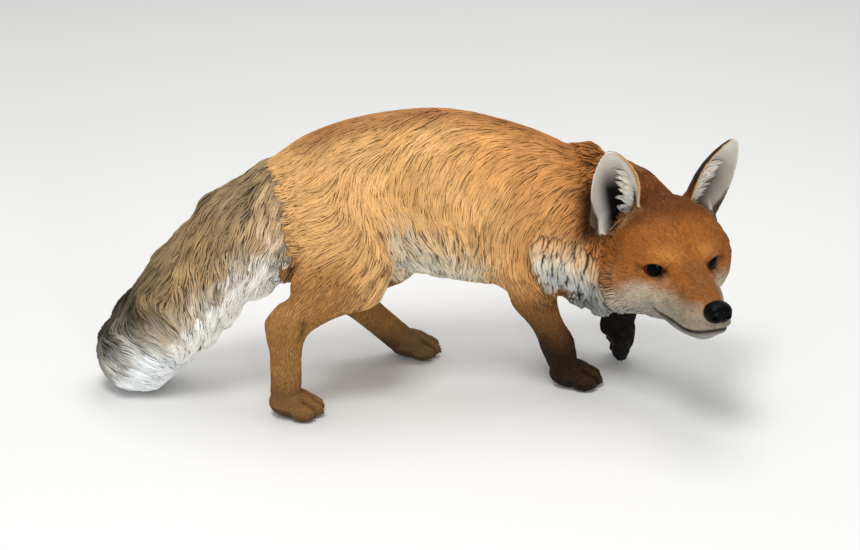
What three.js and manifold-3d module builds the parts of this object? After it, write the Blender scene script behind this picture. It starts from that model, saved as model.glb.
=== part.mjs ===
// A life-size red fox figure in a low stalking walk, cast in resin with its coat carved in relief.
// Millimetres, +Z up, +X along the body towards the head, +Y to the fox's left.
// Every soft form is a field: a function that is negative inside the body. Capsules are wrapped
// onto the fields, the carved locks are fused to them, and thin cuts part the result into nodes.
import * as THREE from "three";
import { mergeVertices } from "three/addons/utils/BufferGeometryUtils.js";
import Module from "manifold-3d";

const wasm = await Module();
wasm.setup();

const CUT = 0.3; // gap that parts neighbouring nodes
const UP = new THREE.Vector3(0, 0, 1);
const FORWARD = new THREE.Vector3(1, 0, 0);
const v = (x, y, z) => new THREE.Vector3(x, y, z);

// ---- fields -----------------------------------------------------------------------------------

// An ellipsoid with half sizes rx, ry, rz, optionally turned.
function ellipsoid(centre, rx, ry, rz, turn = null) {
  const back = turn ? turn.clone().invert() : null;
  return (p) => {
    const q = p.clone().sub(centre);
    if (back) q.applyQuaternion(back);
    const near = Math.hypot(q.x / rx, q.y / ry, q.z / rz);
    const slope = Math.hypot(q.x / rx ** 2, q.y / ry ** 2, q.z / rz ** 2);
    return slope < 1e-9 ? -Math.min(rx, ry, rz) : (near * (near - 1)) / slope;
  };
}

// A limb from a to b whose radius runs from ra to rb, narrowed across the body by thin.
function limb(a, b, ra, rb, thin = 1) {
  const scale = v(1, 1 / thin, 1);
  const from = a.clone().multiply(scale);
  const axis = b.clone().multiply(scale).sub(from);
  return (p) => {
    const q = p.clone().multiply(scale).sub(from);
    const t = THREE.MathUtils.clamp(q.dot(axis) / axis.lengthSq(), 0, 1);
    return (q.distanceTo(axis.clone().multiplyScalar(t)) - THREE.MathUtils.lerp(ra, rb, t)) * thin;
  };
}

// The union of several fields, rounded over a distance of k where they meet.
function blend(k, ...fields) {
  return (p) => fields.map((f) => f(p)).reduce((a, b) => {
    const h = Math.max(k - Math.abs(a - b), 0) / k;
    return Math.min(a, b) - h * h * k * 0.25;
  });
}

function slopeOf(field, p, step = 0.5) {
  const at = (x, y, z) => field(v(p.x + x, p.y + y, p.z + z));
  return v(
    at(step, 0, 0) - at(-step, 0, 0),
    at(0, step, 0) - at(0, -step, 0),
    at(0, 0, step) - at(0, 0, -step),
  ).normalize();
}

// How far a ray from inside the field runs to its surface.
function reachOf(field, from, along, most) {
  const STEP = 3;
  const at = (d) => field(from.clone().addScaledVector(along, d));
  let near = 0;
  while (near + STEP < most && at(near + STEP) < 0) near += STEP;
  let far = near + STEP;
  for (let i = 0; i < 9; i++) {
    const mid = (near + far) / 2;
    if (at(mid) < 0) near = mid;
    else far = mid;
  }
  return near;
}

// ---- meshes and solids ------------------------------------------------------------------------

// The same form with one vertex at each place.
function bare(geometry) {
  geometry.deleteAttribute("normal");
  geometry.deleteAttribute("uv");
  return mergeVertices(geometry, 1e-4);
}

function solid(geometry) {
  const merged = geometry.attributes.normal ? bare(geometry) : geometry;
  const index = merged.index.array;
  const faces = [];
  for (let i = 0; i < index.length; i += 3) {
    const [a, b, c] = [index[i], index[i + 1], index[i + 2]];
    if (a !== b && b !== c && a !== c) faces.push(a, b, c);
  }
  const made = new wasm.Manifold(new wasm.Mesh({
    numProp: 3,
    vertProperties: new Float32Array(merged.attributes.position.array),
    triVerts: new Uint32Array(faces),
  }));
  if (made.volume() < 0) throw new Error("a form is inside out");
  return made;
}

// Moves every vertex of a template geometry by a function of its own position.
function shaped(template, place) {
  const geometry = bare(template);
  const position = geometry.attributes.position;
  for (let i = 0; i < position.count; i++) {
    const p = place(v(position.getX(i), position.getY(i), position.getZ(i)));
    position.setXYZ(i, p.x, p.y, p.z);
  }
  return geometry;
}

// A capsule wrapped onto a field: its rings stand across the spine, and its ends round it off.
function wrap(field, points, { sides, rings, caps = 4, across = UP, most = 150 }) {
  const spine = new THREE.CatmullRomCurve3(points, false, "centripetal");
  return shaped(new THREE.CapsuleGeometry(1, 1, caps, sides, rings), (q) => {
    const t = THREE.MathUtils.clamp(q.y + 0.5, 0, 1);
    const from = spine.getPointAt(t);
    const axis = spine.getTangentAt(t);
    const side = across.clone().addScaledVector(axis, -across.dot(axis)).normalize();
    const third = axis.clone().cross(side);
    const past = q.y - THREE.MathUtils.clamp(q.y, -0.5, 0.5);
    const along = side.multiplyScalar(q.z).addScaledVector(third, q.x).addScaledVector(axis, past);
    along.normalize();
    return from.addScaledVector(along, reachOf(field, from, along, most));
  });
}

const ball = (rx, ry, rz, at, sides = 12, turn = new THREE.Euler()) =>
  new THREE.SphereGeometry(1, sides, Math.round(sides * 0.6)).scale(rx, ry, rz)
    .applyMatrix4(new THREE.Matrix4().makeRotationFromEuler(turn)).translate(...at);

const joined = (solids) => solids.reduce((a, b) => a.add(b));

// ---- trunk, neck and brush --------------------------------------------------------------------

const BACK_TOP = 324; // the highest point of the arched back
const TRUNK_HALF = 56; // half the width of the trunk

const trunk = blend(
  26,
  ellipsoid(v(-126, 0, 220), 60, 50, 66),
  ellipsoid(v(-66, 0, 232), 90, TRUNK_HALF - 1, 80),
  ellipsoid(v(0, 0, BACK_TOP - 92), 92, TRUNK_HALF, 88),
  ellipsoid(v(60, 0, BACK_TOP - 112), 100, TRUNK_HALF + 2, 92),
  ellipsoid(v(128, 0, 192), 66, TRUNK_HALF - 4, 80),
  ellipsoid(v(-102, -42, 186), 54, 36, 58), // right haunch
  ellipsoid(v(-76, 41, 186), 52, 34, 56), // left haunch
  ellipsoid(v(126, -32, 180), 36, 27, 62), // right shoulder
  ellipsoid(v(150, 32, 178), 38, 27, 64), // left shoulder
  ellipsoid(v(106, -36, 142), 29, 25, 34), // right elbow
  ellipsoid(v(152, 33, 142), 32, 24, 34), // left elbow
);
const trunkSpine = [v(-130, 0, 222), v(-60, 0, 230), v(10, 0, 224), v(80, 0, 208), v(142, 0, 192)];

const SKULL_BACK = v(240, -16, 180);
const neck = blend(
  22,
  limb(v(132, 0, 198), v(196, 10, 181), 70, 56, 0.76),
  limb(v(196, 10, 181), SKULL_BACK, 56, 43, 0.76),
  ellipsoid(v(160, -23, 143), 36, 35, 46), // the ruff on the right of the throat
  ellipsoid(v(202, -40, 130), 36, 31, 40),
  ellipsoid(v(166, 2, 222), 32, 34, 46), // the rough nape, in two humps
  ellipsoid(v(220, 4, 200), 34, 28, 38),
);
const neckSpine = [v(138, 0, 194), v(178, 3, 184), v(212, 3, 181), SKULL_BACK];

const BRUSH = 48; // radius of the brush's core, under its locks
const BRUSH_ROOT = v(-150, 0, 225);
const BRUSH_TIP = v(-322, 28, 44.5);
const brush = blend(
  16,
  limb(BRUSH_ROOT, v(-204, 1, 187), 49, BRUSH),
  limb(v(-204, 1, 187), v(-264, 10, 116), BRUSH, BRUSH),
  limb(v(-264, 10, 116), BRUSH_TIP, BRUSH, BRUSH - 3),
);
const brushSpine = [BRUSH_ROOT, v(-204, 1, 187), v(-261, 9, 121), BRUSH_TIP];

// ---- legs and paws ----------------------------------------------------------------------------

const HIND_RIGHT = { hip: v(-110, -36, 206), knee: v(-84, -56, 160), hock: v(-163, -65, 106), heel: v(-165, -65, 24) };
const HIND_LEFT = { hip: v(-76, 34, 206), knee: v(-36, 56, 136), hock: v(-90, 58, 87), heel: v(-24, 64, 20) };
const FORE_RIGHT = { hip: v(132, -32, 186), knee: v(106, -42, 120), hock: v(138, -36, 52), heel: v(147, -34, 22) };
const FORE_LEFT = { hip: v(158, 32, 186), knee: v(180, 38, 114), hock: v(228, 26, 66), heel: v(214, 21, 46) };

const hindLeg = ({ hip, knee, hock, heel }) => blend(
  14,
  limb(hip, knee, 40, 38, 0.62),
  limb(knee, hock, 34, 18, 0.75),
  limb(hock, heel, 17.5, 16.5, 0.85),
  ellipsoid(hock.clone().add(v(-3, 0, 2)), 14, 13, 16),
);

const foreLeg = ({ hip, knee, hock, heel }) => blend(
  14,
  limb(hip, knee, 34, 23, 0.65),
  limb(knee, hock, 20.5, 15, 0.85),
  limb(hock, heel, 15.5, 16, 0.95),
);

function legSolid(form, joints) {
  const spine = [joints.hip, joints.knee, joints.hock, joints.heel];
  return solid(wrap(form(joints), spine, { sides: 12, rings: 18, caps: 3, across: v(0, 1, 0), most: 60 }));
}

const TOES = [[-16.5, 8], [-6.5, 17], [6.5, 17], [16.5, 8]]; // sideways and forward of the paw's middle
const TOE = { long: 15, wide: 8.5, high: 11 };
const CLAW = { long: 8, radius: 2.2 };

// A paw whose sole's middle is at the origin of place, its toes along +X.
function pawSolid(place) {
  const palm = blend(10, ellipsoid(v(-8, 0, 16), 20, 18, 16), ellipsoid(v(4, 0, 14), 18, 19.5, 13));
  const pieces = [wrap(palm, [v(-15, 0, 14), v(9, 0, 12)], { sides: 8, rings: 3, caps: 3, most: 40 })];
  for (const [side, ahead] of TOES) {
    const spread = side * 0.012;
    pieces.push(ball(TOE.long, TOE.wide, TOE.high, [ahead, side, TOE.high - 1.5], 7, new THREE.Euler(0, 0.12, spread)));
    const claw = new THREE.ConeGeometry(CLAW.radius, CLAW.long, 5).rotateZ(-Math.PI / 2 - 0.45);
    pieces.push(claw.rotateZ(spread).translate(ahead + TOE.long - 1, side * 1.06, TOE.high - 3));
  }
  return joined(pieces.map((g) => solid(g.applyMatrix4(place))));
}

const stand = (x, y, yaw, pitch = 0, z = 0) => new THREE.Matrix4().compose(
  v(x, y, z),
  new THREE.Quaternion().setFromEuler(new THREE.Euler(0, pitch, yaw, "ZYX")),
  v(1, 1, 1),
);

// ---- head -------------------------------------------------------------------------------------
// In the head's own frame: origin midway between the eyes, +X to the nose, +Y to its left.

const HEAD = new THREE.Matrix4().compose(
  v(255, -111, 173),
  new THREE.Quaternion().setFromEuler(new THREE.Euler(0, THREE.MathUtils.degToRad(2), THREE.MathUtils.degToRad(-80), "ZYX")),
  v(1, 1, 1),
);
const EYE = { radius: 14, side: 28.5, back: -10, high: 0, turn: 42, half: [16, 11.5, 7.5] };
const pair = (make) => [make(-1), make(1)];

const skull = blend(
  15,
  ellipsoid(v(-50, 0, 12), 48, 49, 45), // cranium
  ellipsoid(v(-20, 0, 6), 30, 37, 25), // forehead
  ...pair((s) => ellipsoid(v(-45, s * 40, 2), 34, 30, 37)), // temples
  ...pair((s) => ellipsoid(v(-15, s * 28, 2), 15, 13, 17)), // around the eyes
  ...pair((s) => ellipsoid(v(-36, s * 39, -20), 32, 29, 32)), // cheeks
  ...pair((s) => ellipsoid(v(-60, s * 43, -38), 32, 31, 36)), // cheek ruff
  limb(v(-6, 0, -17), v(64, 0, -27), 29, 17), // muzzle
  limb(v(-2, 0, 0), v(68, 0, -13), 13, 9.5), // bridge of the nose
  ...pair((s) => ellipsoid(v(14, s * 21, -30), 28, 15, 15)), // corners of the mouth
  ...pair((s) => ellipsoid(v(54, s * 12, -35), 20, 11, 12)), // upper lips
  limb(v(-4, 0, -40), v(56, 0, -47), 19, 9), // lower jaw
  ellipsoid(v(-40, 0, -44), 44, 42, 33), // throat
);
const skullSpine = [v(-62, 0, 4), v(-20, 0, -8), v(20, 0, -22), v(60, 0, -28)];

const NOSE_PAD = { at: [79, 0, -19], long: 10, wide: 15.5, high: 12.5 };
const NOSTRIL = { long: 6, wide: 3.2, high: 2.6, side: 7.5 };

// The line where the lips meet: sagging from its corner, rising under the nose.
const MOUTH = [[14, -38], [26, -43], [40, -49], [54, -51], [66, -48], [76, -43], [100, -40]];

const EAR = { height: 93, fold: [1.6, 1.05], thick: [5, 2.6], yaw: 22.5, lean: 8, nod: 17.5, drop: 22.5, root: 0.14 };
const EAR_BASE = [-66, 49, 29]; // the middle of the chord between its rims
const EAR_HOLLOW = { half: [13, 16, 24], at: [-70, 45, 36] };
const EAR_HALF = [[0, 25], [0.15, 28], [0.35, 29.5], [0.55, 28], [0.75, 22], [0.9, 14.5], [1, 6]];

function along(table, t) {
  const i = Math.max(1, table.findIndex(([at]) => at >= t - 1e-9));
  const [[t0, y0], [t1, y1]] = [table[i - 1], table[i]];
  return THREE.MathUtils.lerp(y0, y1, (t - t0) / (t1 - t0));
}

// An ear is a plate bent into a cup that opens forward and outward; grow swells it all round.
function ear(s, grow = 0) {
  const [yaw, lean, nod] = [EAR.yaw, EAR.lean, EAR.nod].map(THREE.MathUtils.degToRad);
  const turn = new THREE.Quaternion().setFromEuler(new THREE.Euler(-s * lean, nod, s * yaw, "ZYX"));
  return shaped(new THREE.BoxGeometry(2, 1, 1, 8, 7, 1), (q) => {
    const h = THREE.MathUtils.lerp(-EAR.root, 1, q.y + 0.5);
    const up = Math.max(h, 0);
    const fold = THREE.MathUtils.lerp(EAR.fold[0], EAR.fold[1], Math.sqrt(up));
    const radius = along(EAR_HALF, up) / Math.sin(Math.min(fold, 1.5));
    const angle = (fold + (2 * grow) / radius) * q.x;
    const thick = THREE.MathUtils.lerp(EAR.thick[0], EAR.thick[1], up) * (1 - 0.4 * Math.abs(q.x));
    const wall = (thick + 4 * grow) * q.z;
    const outer = s * q.x;
    return v(
      radius * (Math.cos(fold) - Math.cos(angle)) + wall * Math.cos(angle),
      (radius - wall) * Math.sin(angle),
      h * EAR.height - EAR.drop * outer * (1 - up),
    ).applyQuaternion(turn).add(v(EAR_BASE[0], s * EAR_BASE[1], EAR_BASE[2]));
  });
}

// The opening between the lids, and the lids round it.
function eyeFrame(s) {
  const turn = new THREE.Quaternion().setFromEuler(new THREE.Euler(0, 0, s * THREE.MathUtils.degToRad(EYE.turn), "ZYX"));
  return new THREE.Matrix4().compose(v(EYE.back, s * EYE.side, EYE.high), turn, v(1, 1, 1));
}

// ---- locks ------------------------------------------------------------------------------------

// A flat tapered lock from its root through mid to its tip, lying on a surface that faces out.
function lock(root, mid, tip, out, wide, thick, rings = 4) {
  const curve = new THREE.QuadraticBezierCurve3(root, mid, tip);
  return shaped(new THREE.SphereGeometry(1, 4, rings + 1), (q) => {
    const t = Math.acos(THREE.MathUtils.clamp(q.y, -1, 1)) / Math.PI;
    const full = Math.pow(Math.sin(Math.PI * Math.pow(t, 0.75)), 0.8);
    const ring = Math.max(Math.hypot(q.x, q.z), 1e-9);
    const axis = curve.getTangentAt(t);
    const across = out.clone().cross(axis).normalize();
    const up = axis.clone().cross(across);
    const p = curve.getPointAt(t);
    if (t > 0.001 && t < 0.999) {
      p.addScaledVector(across, (q.x / ring) * full * wide * 0.5);
      p.addScaledVector(up, (q.z / ring) * full * thick * 0.5);
    }
    return p;
  });
}

let seed = 7;
function random(low = 0, high = 1) {
  seed = (seed * 1664525 + 1013904223) % 4294967296;
  return low + (high - low) * (seed / 4294967296);
}

// Rows of locks over a field, from ring to ring along its spine; each leans by the flow given.
function coat(field, spine, { from, to, rows, around, length, wide, thick, flow, rings = 3, keep = () => true }) {
  const path = new THREE.CatmullRomCurve3(spine, false, "centripetal");
  const locks = [];
  for (let i = 0; i < rows; i++) {
    for (let j = 0; j < around; j++) {
      const t = THREE.MathUtils.lerp(from, to, (i + random(-0.3, 0.3)) / Math.max(rows - 1, 1));
      const turn = ((j + (i % 2) * 0.5 + random(-0.25, 0.25)) / around) * 2 * Math.PI;
      const at = path.getPointAt(THREE.MathUtils.clamp(t, 0, 1));
      const axis = path.getTangentAt(THREE.MathUtils.clamp(t, 0, 1));
      const side = UP.clone().addScaledVector(axis, -axis.z).normalize();
      const ray = side.applyAxisAngle(axis, turn);
      const skin = at.addScaledVector(ray, reachOf(field, at, ray, 150));
      if (!keep(skin)) continue;
      const out = slopeOf(field, skin);
      const run = flow(skin, axis, out);
      run.addScaledVector(out, -run.dot(out)).normalize();
      const size = random(0.85, 1.15);
      const reach = length * size;
      const sway = out.clone().cross(run).multiplyScalar(random(-0.18, 0.18) * reach);
      const root = skin.clone().addScaledVector(run, -reach * 0.3).addScaledVector(out, -thick * 1.6);
      const mid = skin.clone().addScaledVector(run, reach * 0.25).addScaledVector(out, thick * 0.6).add(sway);
      const over = skin.clone().addScaledVector(run, reach * 0.72);
      const tip = over.addScaledVector(slopeOf(field, over), thick * 0.45 - field(over));
      locks.push(lock(root, mid, tip, out, wide * size, thick, rings));
    }
  }
  return locks;
}

// ---- the casting, and the pieces it is cut into -------------------------------------------------

// The carved coat: low broad locks on the brush, the ruff, the cheeks, the belly and the haunches.
function coats() {
  const hang = (x, y, z) => () => v(x, y, z);
  const trail = (drop) => (skin, axis) => axis.clone().addScaledVector(UP, -drop);
  const onBody = [
    ...coat(brush, brushSpine, {
      from: 0.2, to: 0.9, rows: 6, around: 6, length: 66, wide: 27, thick: 9, flow: trail(0.55), rings: 4,
    }),
    ...coat(brush, brushSpine, {
      from: 0.97, to: 1, rows: 1, around: 4, length: 66, wide: 26, thick: 9, flow: trail(0),
    }),
    ...coat(neck, neckSpine, {
      from: 0.02, to: 0.7, rows: 4, around: 9, length: 50, wide: 20, thick: 8, flow: hang(-0.35, 0, -1),
      keep: (p) => p.z < 205 && p.z > 95,
    }),
    ...coat(trunk, trunkSpine, {
      from: 0.42, to: 0.86, rows: 5, around: 8, length: 48, wide: 20, thick: 7, flow: hang(-1, 0, -0.25),
      keep: (p) => p.z < 152 && Math.abs(p.y) < 40,
    }),
    ...coat(neck, neckSpine, {
      from: 0.35, to: 1, rows: 3, around: 9, length: 40, wide: 20, thick: 8, flow: hang(-1, 0.35, 0.1),
      keep: (p) => p.z > 212,
    }),
    ...coat(trunk, trunkSpine, {
      from: 0, to: 0.06, rows: 2, around: 10, length: 44, wide: 18, thick: 7, flow: hang(-0.5, 0, -1),
      keep: (p) => p.x < -128 && p.z < 215 && Math.abs(p.y) > 30,
    }),
  ].map(solid);
  const earRoom = joined(pair((s) => onHead(ear(s, CUT))));
  const onCheeks = coat(skull, skullSpine, {
    from: 0, to: 0.22, rows: 3, around: 14, length: 34, wide: 15, thick: 6, flow: hang(-1, 0, -0.6),
    keep: (p) => p.z < -8 && Math.abs(p.y) > 34 && p.x < -30,
  }).map(onHead);
  return [...onBody, ...onCheeks].map((made) => made.subtract(earRoom));
}

const onHead = (geometry) => solid(geometry.applyMatrix4(HEAD));

function sheet(points, halfWide, across) {
  return shaped(new THREE.BoxGeometry(1, 1, 1, points.length - 1, 1, 1), (q) => {
    const [x, z] = points[Math.round((q.x + 0.5) * (points.length - 1))];
    return across
      ? v(x, q.y * 2 * halfWide, z + q.z * CUT)
      : v(x + q.z * CUT, q.y * 2 * halfWide, z);
  });
}

// A thin slab across a limb: its middle, the direction it faces and half its width.
function slab(at, facing, halfWide, halfHigh = halfWide) {
  const turn = new THREE.Quaternion().setFromUnitVectors(v(1, 0, 0), facing.clone().normalize());
  const box = new THREE.BoxGeometry(CUT, 2 * halfWide, 2 * halfHigh);
  return solid(box.applyMatrix4(new THREE.Matrix4().compose(at, turn, v(1, 1, 1))));
}

const PAWS = {
  hind_right: stand(-156, -65, -0.1),
  hind_left: stand(-11, 65, 0),
  fore_right: stand(158, -34, -0.05),
  fore_left: stand(209, 20, 0, 1.35),
};
const SOLE = 1.2; // how far each paw is cut away where it meets the floor

function standing(place) {
  const paw = pawSolid(place);
  return paw.translate([0, 0, -SOLE - paw.boundingBox().min[2]]);
}

// The skull, or the same form swollen by the width of a cut to make room for its neighbours.
const headSkin = { sides: 26, rings: 18, caps: 6 };
const skullForm = (grow = 0) => wrap((p) => skull(p) - grow, skullSpine, headSkin);

function lids(s) {
  const frame = eyeFrame(s);
  const lid = (high, wide) => lock(v(9, -13, -1), v(20, 0, high), v(9, 13, 1), v(1, 0, 0), wide, 4, 5);
  return [lid(14, 6), lid(-13, 5)].map((g) => onHead(g.applyMatrix4(frame)));
}

function eyeRoom(s) {
  const [deep, wide, high] = EYE.half;
  const opening = ball(deep, wide, high, [deep, 0, 0], 12).applyMatrix4(eyeFrame(s));
  const globe = ball(EYE.radius + CUT, EYE.radius + CUT, EYE.radius + CUT, [EYE.back, s * EYE.side, EYE.high], 14);
  return onHead(opening).add(onHead(globe));
}

const eyeball = (s) => onHead(ball(EYE.radius, EYE.radius, EYE.radius, [EYE.back, s * EYE.side, EYE.high], 14));

function nosePad() {
  const pad = onHead(ball(NOSE_PAD.long, NOSE_PAD.wide, NOSE_PAD.high, NOSE_PAD.at, 12));
  const [x, , z] = NOSE_PAD.at;
  const nostrils = pair((s) => onHead(
    ball(NOSTRIL.long, NOSTRIL.wide, NOSTRIL.high, [x + NOSE_PAD.long - 2, s * NOSTRIL.side, z - 1], 8),
  ));
  return pad.subtract(joined(nostrils)).subtract(onHead(skullForm(CUT)));
}

const trunkForm = (grow = 0) => (
  wrap((p) => trunk(p) - grow, trunkSpine, { sides: 24, rings: 14, caps: 4 })
);
const neckForm = (grow = 0) => wrap((p) => neck(p) - grow, neckSpine, { sides: 22, rings: 7, caps: 4 });
const brushForm = () => wrap(brush, brushSpine, { sides: 18, rings: 11, caps: 4 });

const earPiece = (s) => onHead(ear(s)).subtract(onHead(skullForm(CUT)))
  .subtract(solid(neckForm(CUT)))
  .subtract(solid(trunkForm(CUT)));

function casting() {
  const bodies = [
    solid(trunkForm()),
    solid(neckForm()),
    solid(brushForm()),
    onHead(skullForm()),
    legSolid(hindLeg, HIND_RIGHT),
    legSolid(hindLeg, HIND_LEFT),
    legSolid(foreLeg, FORE_RIGHT),
    legSolid(foreLeg, FORE_LEFT),
    ...Object.values(PAWS).map(standing),
    ...pair(lids).flat(),
    ...coats(),
  ];
  const earHollow = (s) => onHead(
    ball(...EAR_HOLLOW.half, [EAR_HOLLOW.at[0], s * EAR_HOLLOW.at[1], EAR_HOLLOW.at[2]], 10),
  );
  const rooms = [...pair(eyeRoom), ...pair(earHollow)];
  const mouth = [sheet(MOUTH, 50, true), sheet([MOUTH[0], [MOUTH[0][0], -90]], 50, false)];
  const cuts = [
    slab(v(146, 0, 190), v(0.95, 0, -0.3), 80, 96), // trunk and neck
    slab(v(221, -24, 182), v(0.73, -0.68, 0), 104), // neck and head
    slab(v(-186, 0, 196), v(-0.8, 0, -0.6), 58, 62), // trunk and brush
    slab(v(-236, 2, 150), v(-0.72, 0, -0.69), 72, 62),
    slab(v(-284, 15, 92), v(-0.68, 0.12, -0.72), 72, 66),
    slab(v(-112, -62, 122), UP, 42, 75), // legs, below the belly
    slab(v(-50, 64, 122), UP, 50, 62),
    slab(v(115, -41, 101), UP, 42, 42),
    slab(v(195, 34, 99), v(0.7, -0.17, -0.7), 36),
    slab(v(-164, -65, 37), UP, 30), // paws
    slab(v(-33, 63, 28), v(0.75, 0.06, -0.66), 26),
    slab(v(144, -35, 38), v(0.29, 0, -0.95), 27),
    slab(v(213, 21, 44), v(0.2, 0, -0.98), 27),
    ...mouth.map(onHead),
  ];
  const floor = solid(new THREE.BoxGeometry(1200, 600, 100).translate(0, 0, -50));
  return joined(bodies).subtract(joined([...rooms, ...cuts, floor]));
}

const WARM = 0xb87a3c;
const PIECES = [
  ["torso", v(0, 0, 230), WARM],
  ["neck", v(195, 0, 180), 0xad6f38],
  ["tail_root", v(-205, 1, 180), 0xa07c50],
  ["tail_mid", v(-262, 3, 122), 0xa58a68],
  ["tail_tip", v(-316, 14, 55), 0xcfc4b4],
  ["head", v(247, -68, 174), 0xb06a2c],
  ["jaw", v(260, -146, 122), 0xd8cfc2],
  ["hind_leg_right", v(-165, -65, 80), 0xa8703a],
  ["hind_leg_left", v(-60, 60, 60), 0xa8703a],
  ["fore_leg_right", v(130, -36, 70), 0x8a5a30],
  ["fore_leg_left", v(205, 25, 70), 0x33241a],
  ["paw_hind_right", v(-155, -65, 12), 0x7a5230],
  ["paw_hind_left", v(-11, 65, 12), 0x5c3c24],
  ["paw_fore_right", v(158, -34, 12), 0x2e211a],
  ["paw_fore_left", v(213, 20, 20), 0x241a16],
];

function meshOf(name, manifold, colour, roughness) {
  const made = manifold.getMesh();
  const geometry = new THREE.BufferGeometry();
  geometry.setAttribute("position", new THREE.BufferAttribute(new Float32Array(made.vertProperties), 3));
  geometry.setIndex(new THREE.BufferAttribute(new Uint32Array(made.triVerts), 1));
  const material = new THREE.MeshStandardMaterial({ color: colour, roughness, metalness: 0 });
  const mesh = new THREE.Mesh(geometry, material);
  mesh.name = name;
  return mesh;
}

const largest = (manifold) => manifold.decompose().sort((a, b) => b.volume() - a.volume())[0];

// The piece whose material lies nearest to a seed point inside it.
function pieceAt(pieces, seedPoint) {
  const probe = solid(ball(3, 3, 3, seedPoint.toArray(), 6));
  return pieces.map((p) => [p.intersect(probe).volume(), p]).sort((a, b) => b[0] - a[0])[0][1];
}

// Everything stands on z = 0 with the middle of its length and width over the origin.
const parts = [];
const castPieces = casting().decompose();
for (const [name, at, colour] of PIECES) parts.push([name, pieceAt(castPieces, at), colour, 0.75]);
parts.push(["nose", largest(nosePad()), 0x15110f, 0.25]);
for (const [side, s] of [["right", -1], ["left", 1]]) {
  parts.push([`ear_${side}`, largest(earPiece(s)), 0xc9bfb2, 0.75]);
  parts.push([`eye_${side}`, eyeball(s), 0x241008, 0.08]);
}
const boxes = parts.map(([, solidPart]) => solidPart.boundingBox());
const middle = [0, 1].map((k) => (
  Math.min(...boxes.map((b) => b.min[k])) + Math.max(...boxes.map((b) => b.max[k]))
) / 2);

const fox = new THREE.Group();
fox.name = "fox_figure";
for (const [name, solidPart, colour, roughness] of parts) {
  fox.add(meshOf(name, solidPart.translate([-middle[0], -middle[1], 0]), colour, roughness));
}

export default fox;
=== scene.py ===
import math

import bmesh
import bpy
import numpy as np
from mathutils import Matrix, Vector
from mathutils.bvhtree import BVHTree
from mathutils.kdtree import KDTree


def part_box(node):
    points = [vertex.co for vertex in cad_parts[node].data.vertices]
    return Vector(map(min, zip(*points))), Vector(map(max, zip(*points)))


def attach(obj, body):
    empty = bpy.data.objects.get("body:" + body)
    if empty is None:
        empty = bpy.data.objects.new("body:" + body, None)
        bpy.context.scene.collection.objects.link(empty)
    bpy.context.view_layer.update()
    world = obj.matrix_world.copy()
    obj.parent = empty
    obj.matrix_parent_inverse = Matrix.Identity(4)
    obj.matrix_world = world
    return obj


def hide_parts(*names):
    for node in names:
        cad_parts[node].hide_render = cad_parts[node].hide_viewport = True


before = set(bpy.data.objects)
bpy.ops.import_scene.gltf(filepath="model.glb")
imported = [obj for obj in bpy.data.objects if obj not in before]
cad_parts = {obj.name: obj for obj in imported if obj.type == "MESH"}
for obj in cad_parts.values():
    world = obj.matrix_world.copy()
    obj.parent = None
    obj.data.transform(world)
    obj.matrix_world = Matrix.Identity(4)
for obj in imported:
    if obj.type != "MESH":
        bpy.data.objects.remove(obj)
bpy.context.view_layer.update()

# ---- Viewpoint and room -------------------------------------------------------------------------
# The figure stands on a plain pale floor that runs on to a pale wall of light. A long lens looks
# down on its right side, from a little behind the shoulder.

TRUNK = Vector((0.0201, 0.0542, 0.0))  # on the floor under the middle of the trunk
VIEW_AZIMUTH = math.radians(-7.4)
VIEW_ELEVATION = math.radians(23.6)
VIEW_HEIGHT = 0.128
VIEW_DISTANCE = 2.0
LENS = 76.1
FLOOR_COLOUR = (0.80, 0.80, 0.79, 1)
FLOOR_HALF = 9
ROOM_LIGHT = 0.55
LIGHTS_AIM = TRUNK + Vector((0, 0, 0.15))

camera_data = bpy.data.cameras.new("camera")
camera_data.lens = LENS
camera_data.sensor_width = 36
camera = bpy.data.objects.new("camera", camera_data)
bpy.context.collection.objects.link(camera)
towards_camera = Vector((
    math.sin(VIEW_AZIMUTH) * math.cos(VIEW_ELEVATION),
    -math.cos(VIEW_AZIMUTH) * math.cos(VIEW_ELEVATION),
    math.sin(VIEW_ELEVATION),
))
camera.location = TRUNK + Vector((0, 0, VIEW_HEIGHT)) + towards_camera * VIEW_DISTANCE
camera.rotation_euler = towards_camera.to_track_quat("Z", "Y").to_euler()
bpy.context.scene.camera = camera


def shader_of(name):
    """A new material and its Principled shader."""
    material = bpy.data.materials.new(name)
    material.use_nodes = True
    return material, material.node_tree.nodes["Principled BSDF"]


def object_of(name, form, material):
    """A new object from a bmesh or a mesh, smooth shaded, with one material."""
    mesh = form
    if isinstance(form, bmesh.types.BMesh):
        mesh = bpy.data.meshes.new(name)
        form.to_mesh(mesh)
        form.free()
    mesh.materials.clear()
    mesh.materials.append(material)
    mesh.polygons.foreach_set("use_smooth", [True] * len(mesh.polygons))
    made = bpy.data.objects.new(name, mesh)
    bpy.context.collection.objects.link(made)
    return made


floor_form = bmesh.new()
bmesh.ops.create_grid(floor_form, x_segments=4, y_segments=4, size=FLOOR_HALF)
floor_paint, floor_shader = shader_of("floor_paint")
floor_shader.inputs["Base Color"].default_value = FLOOR_COLOUR
floor_shader.inputs["Roughness"].default_value = 0.7
object_of("floor", floor_form, floor_paint)

world = bpy.data.worlds.new("room")
bpy.context.scene.world = world
world.use_nodes = True
sky = world.node_tree.nodes["Background"]
sky.inputs["Color"].default_value = (1, 1, 1, 1)
sky.inputs["Strength"].default_value = ROOM_LIGHT
bpy.context.scene.view_settings.view_transform = "Standard"


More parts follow.
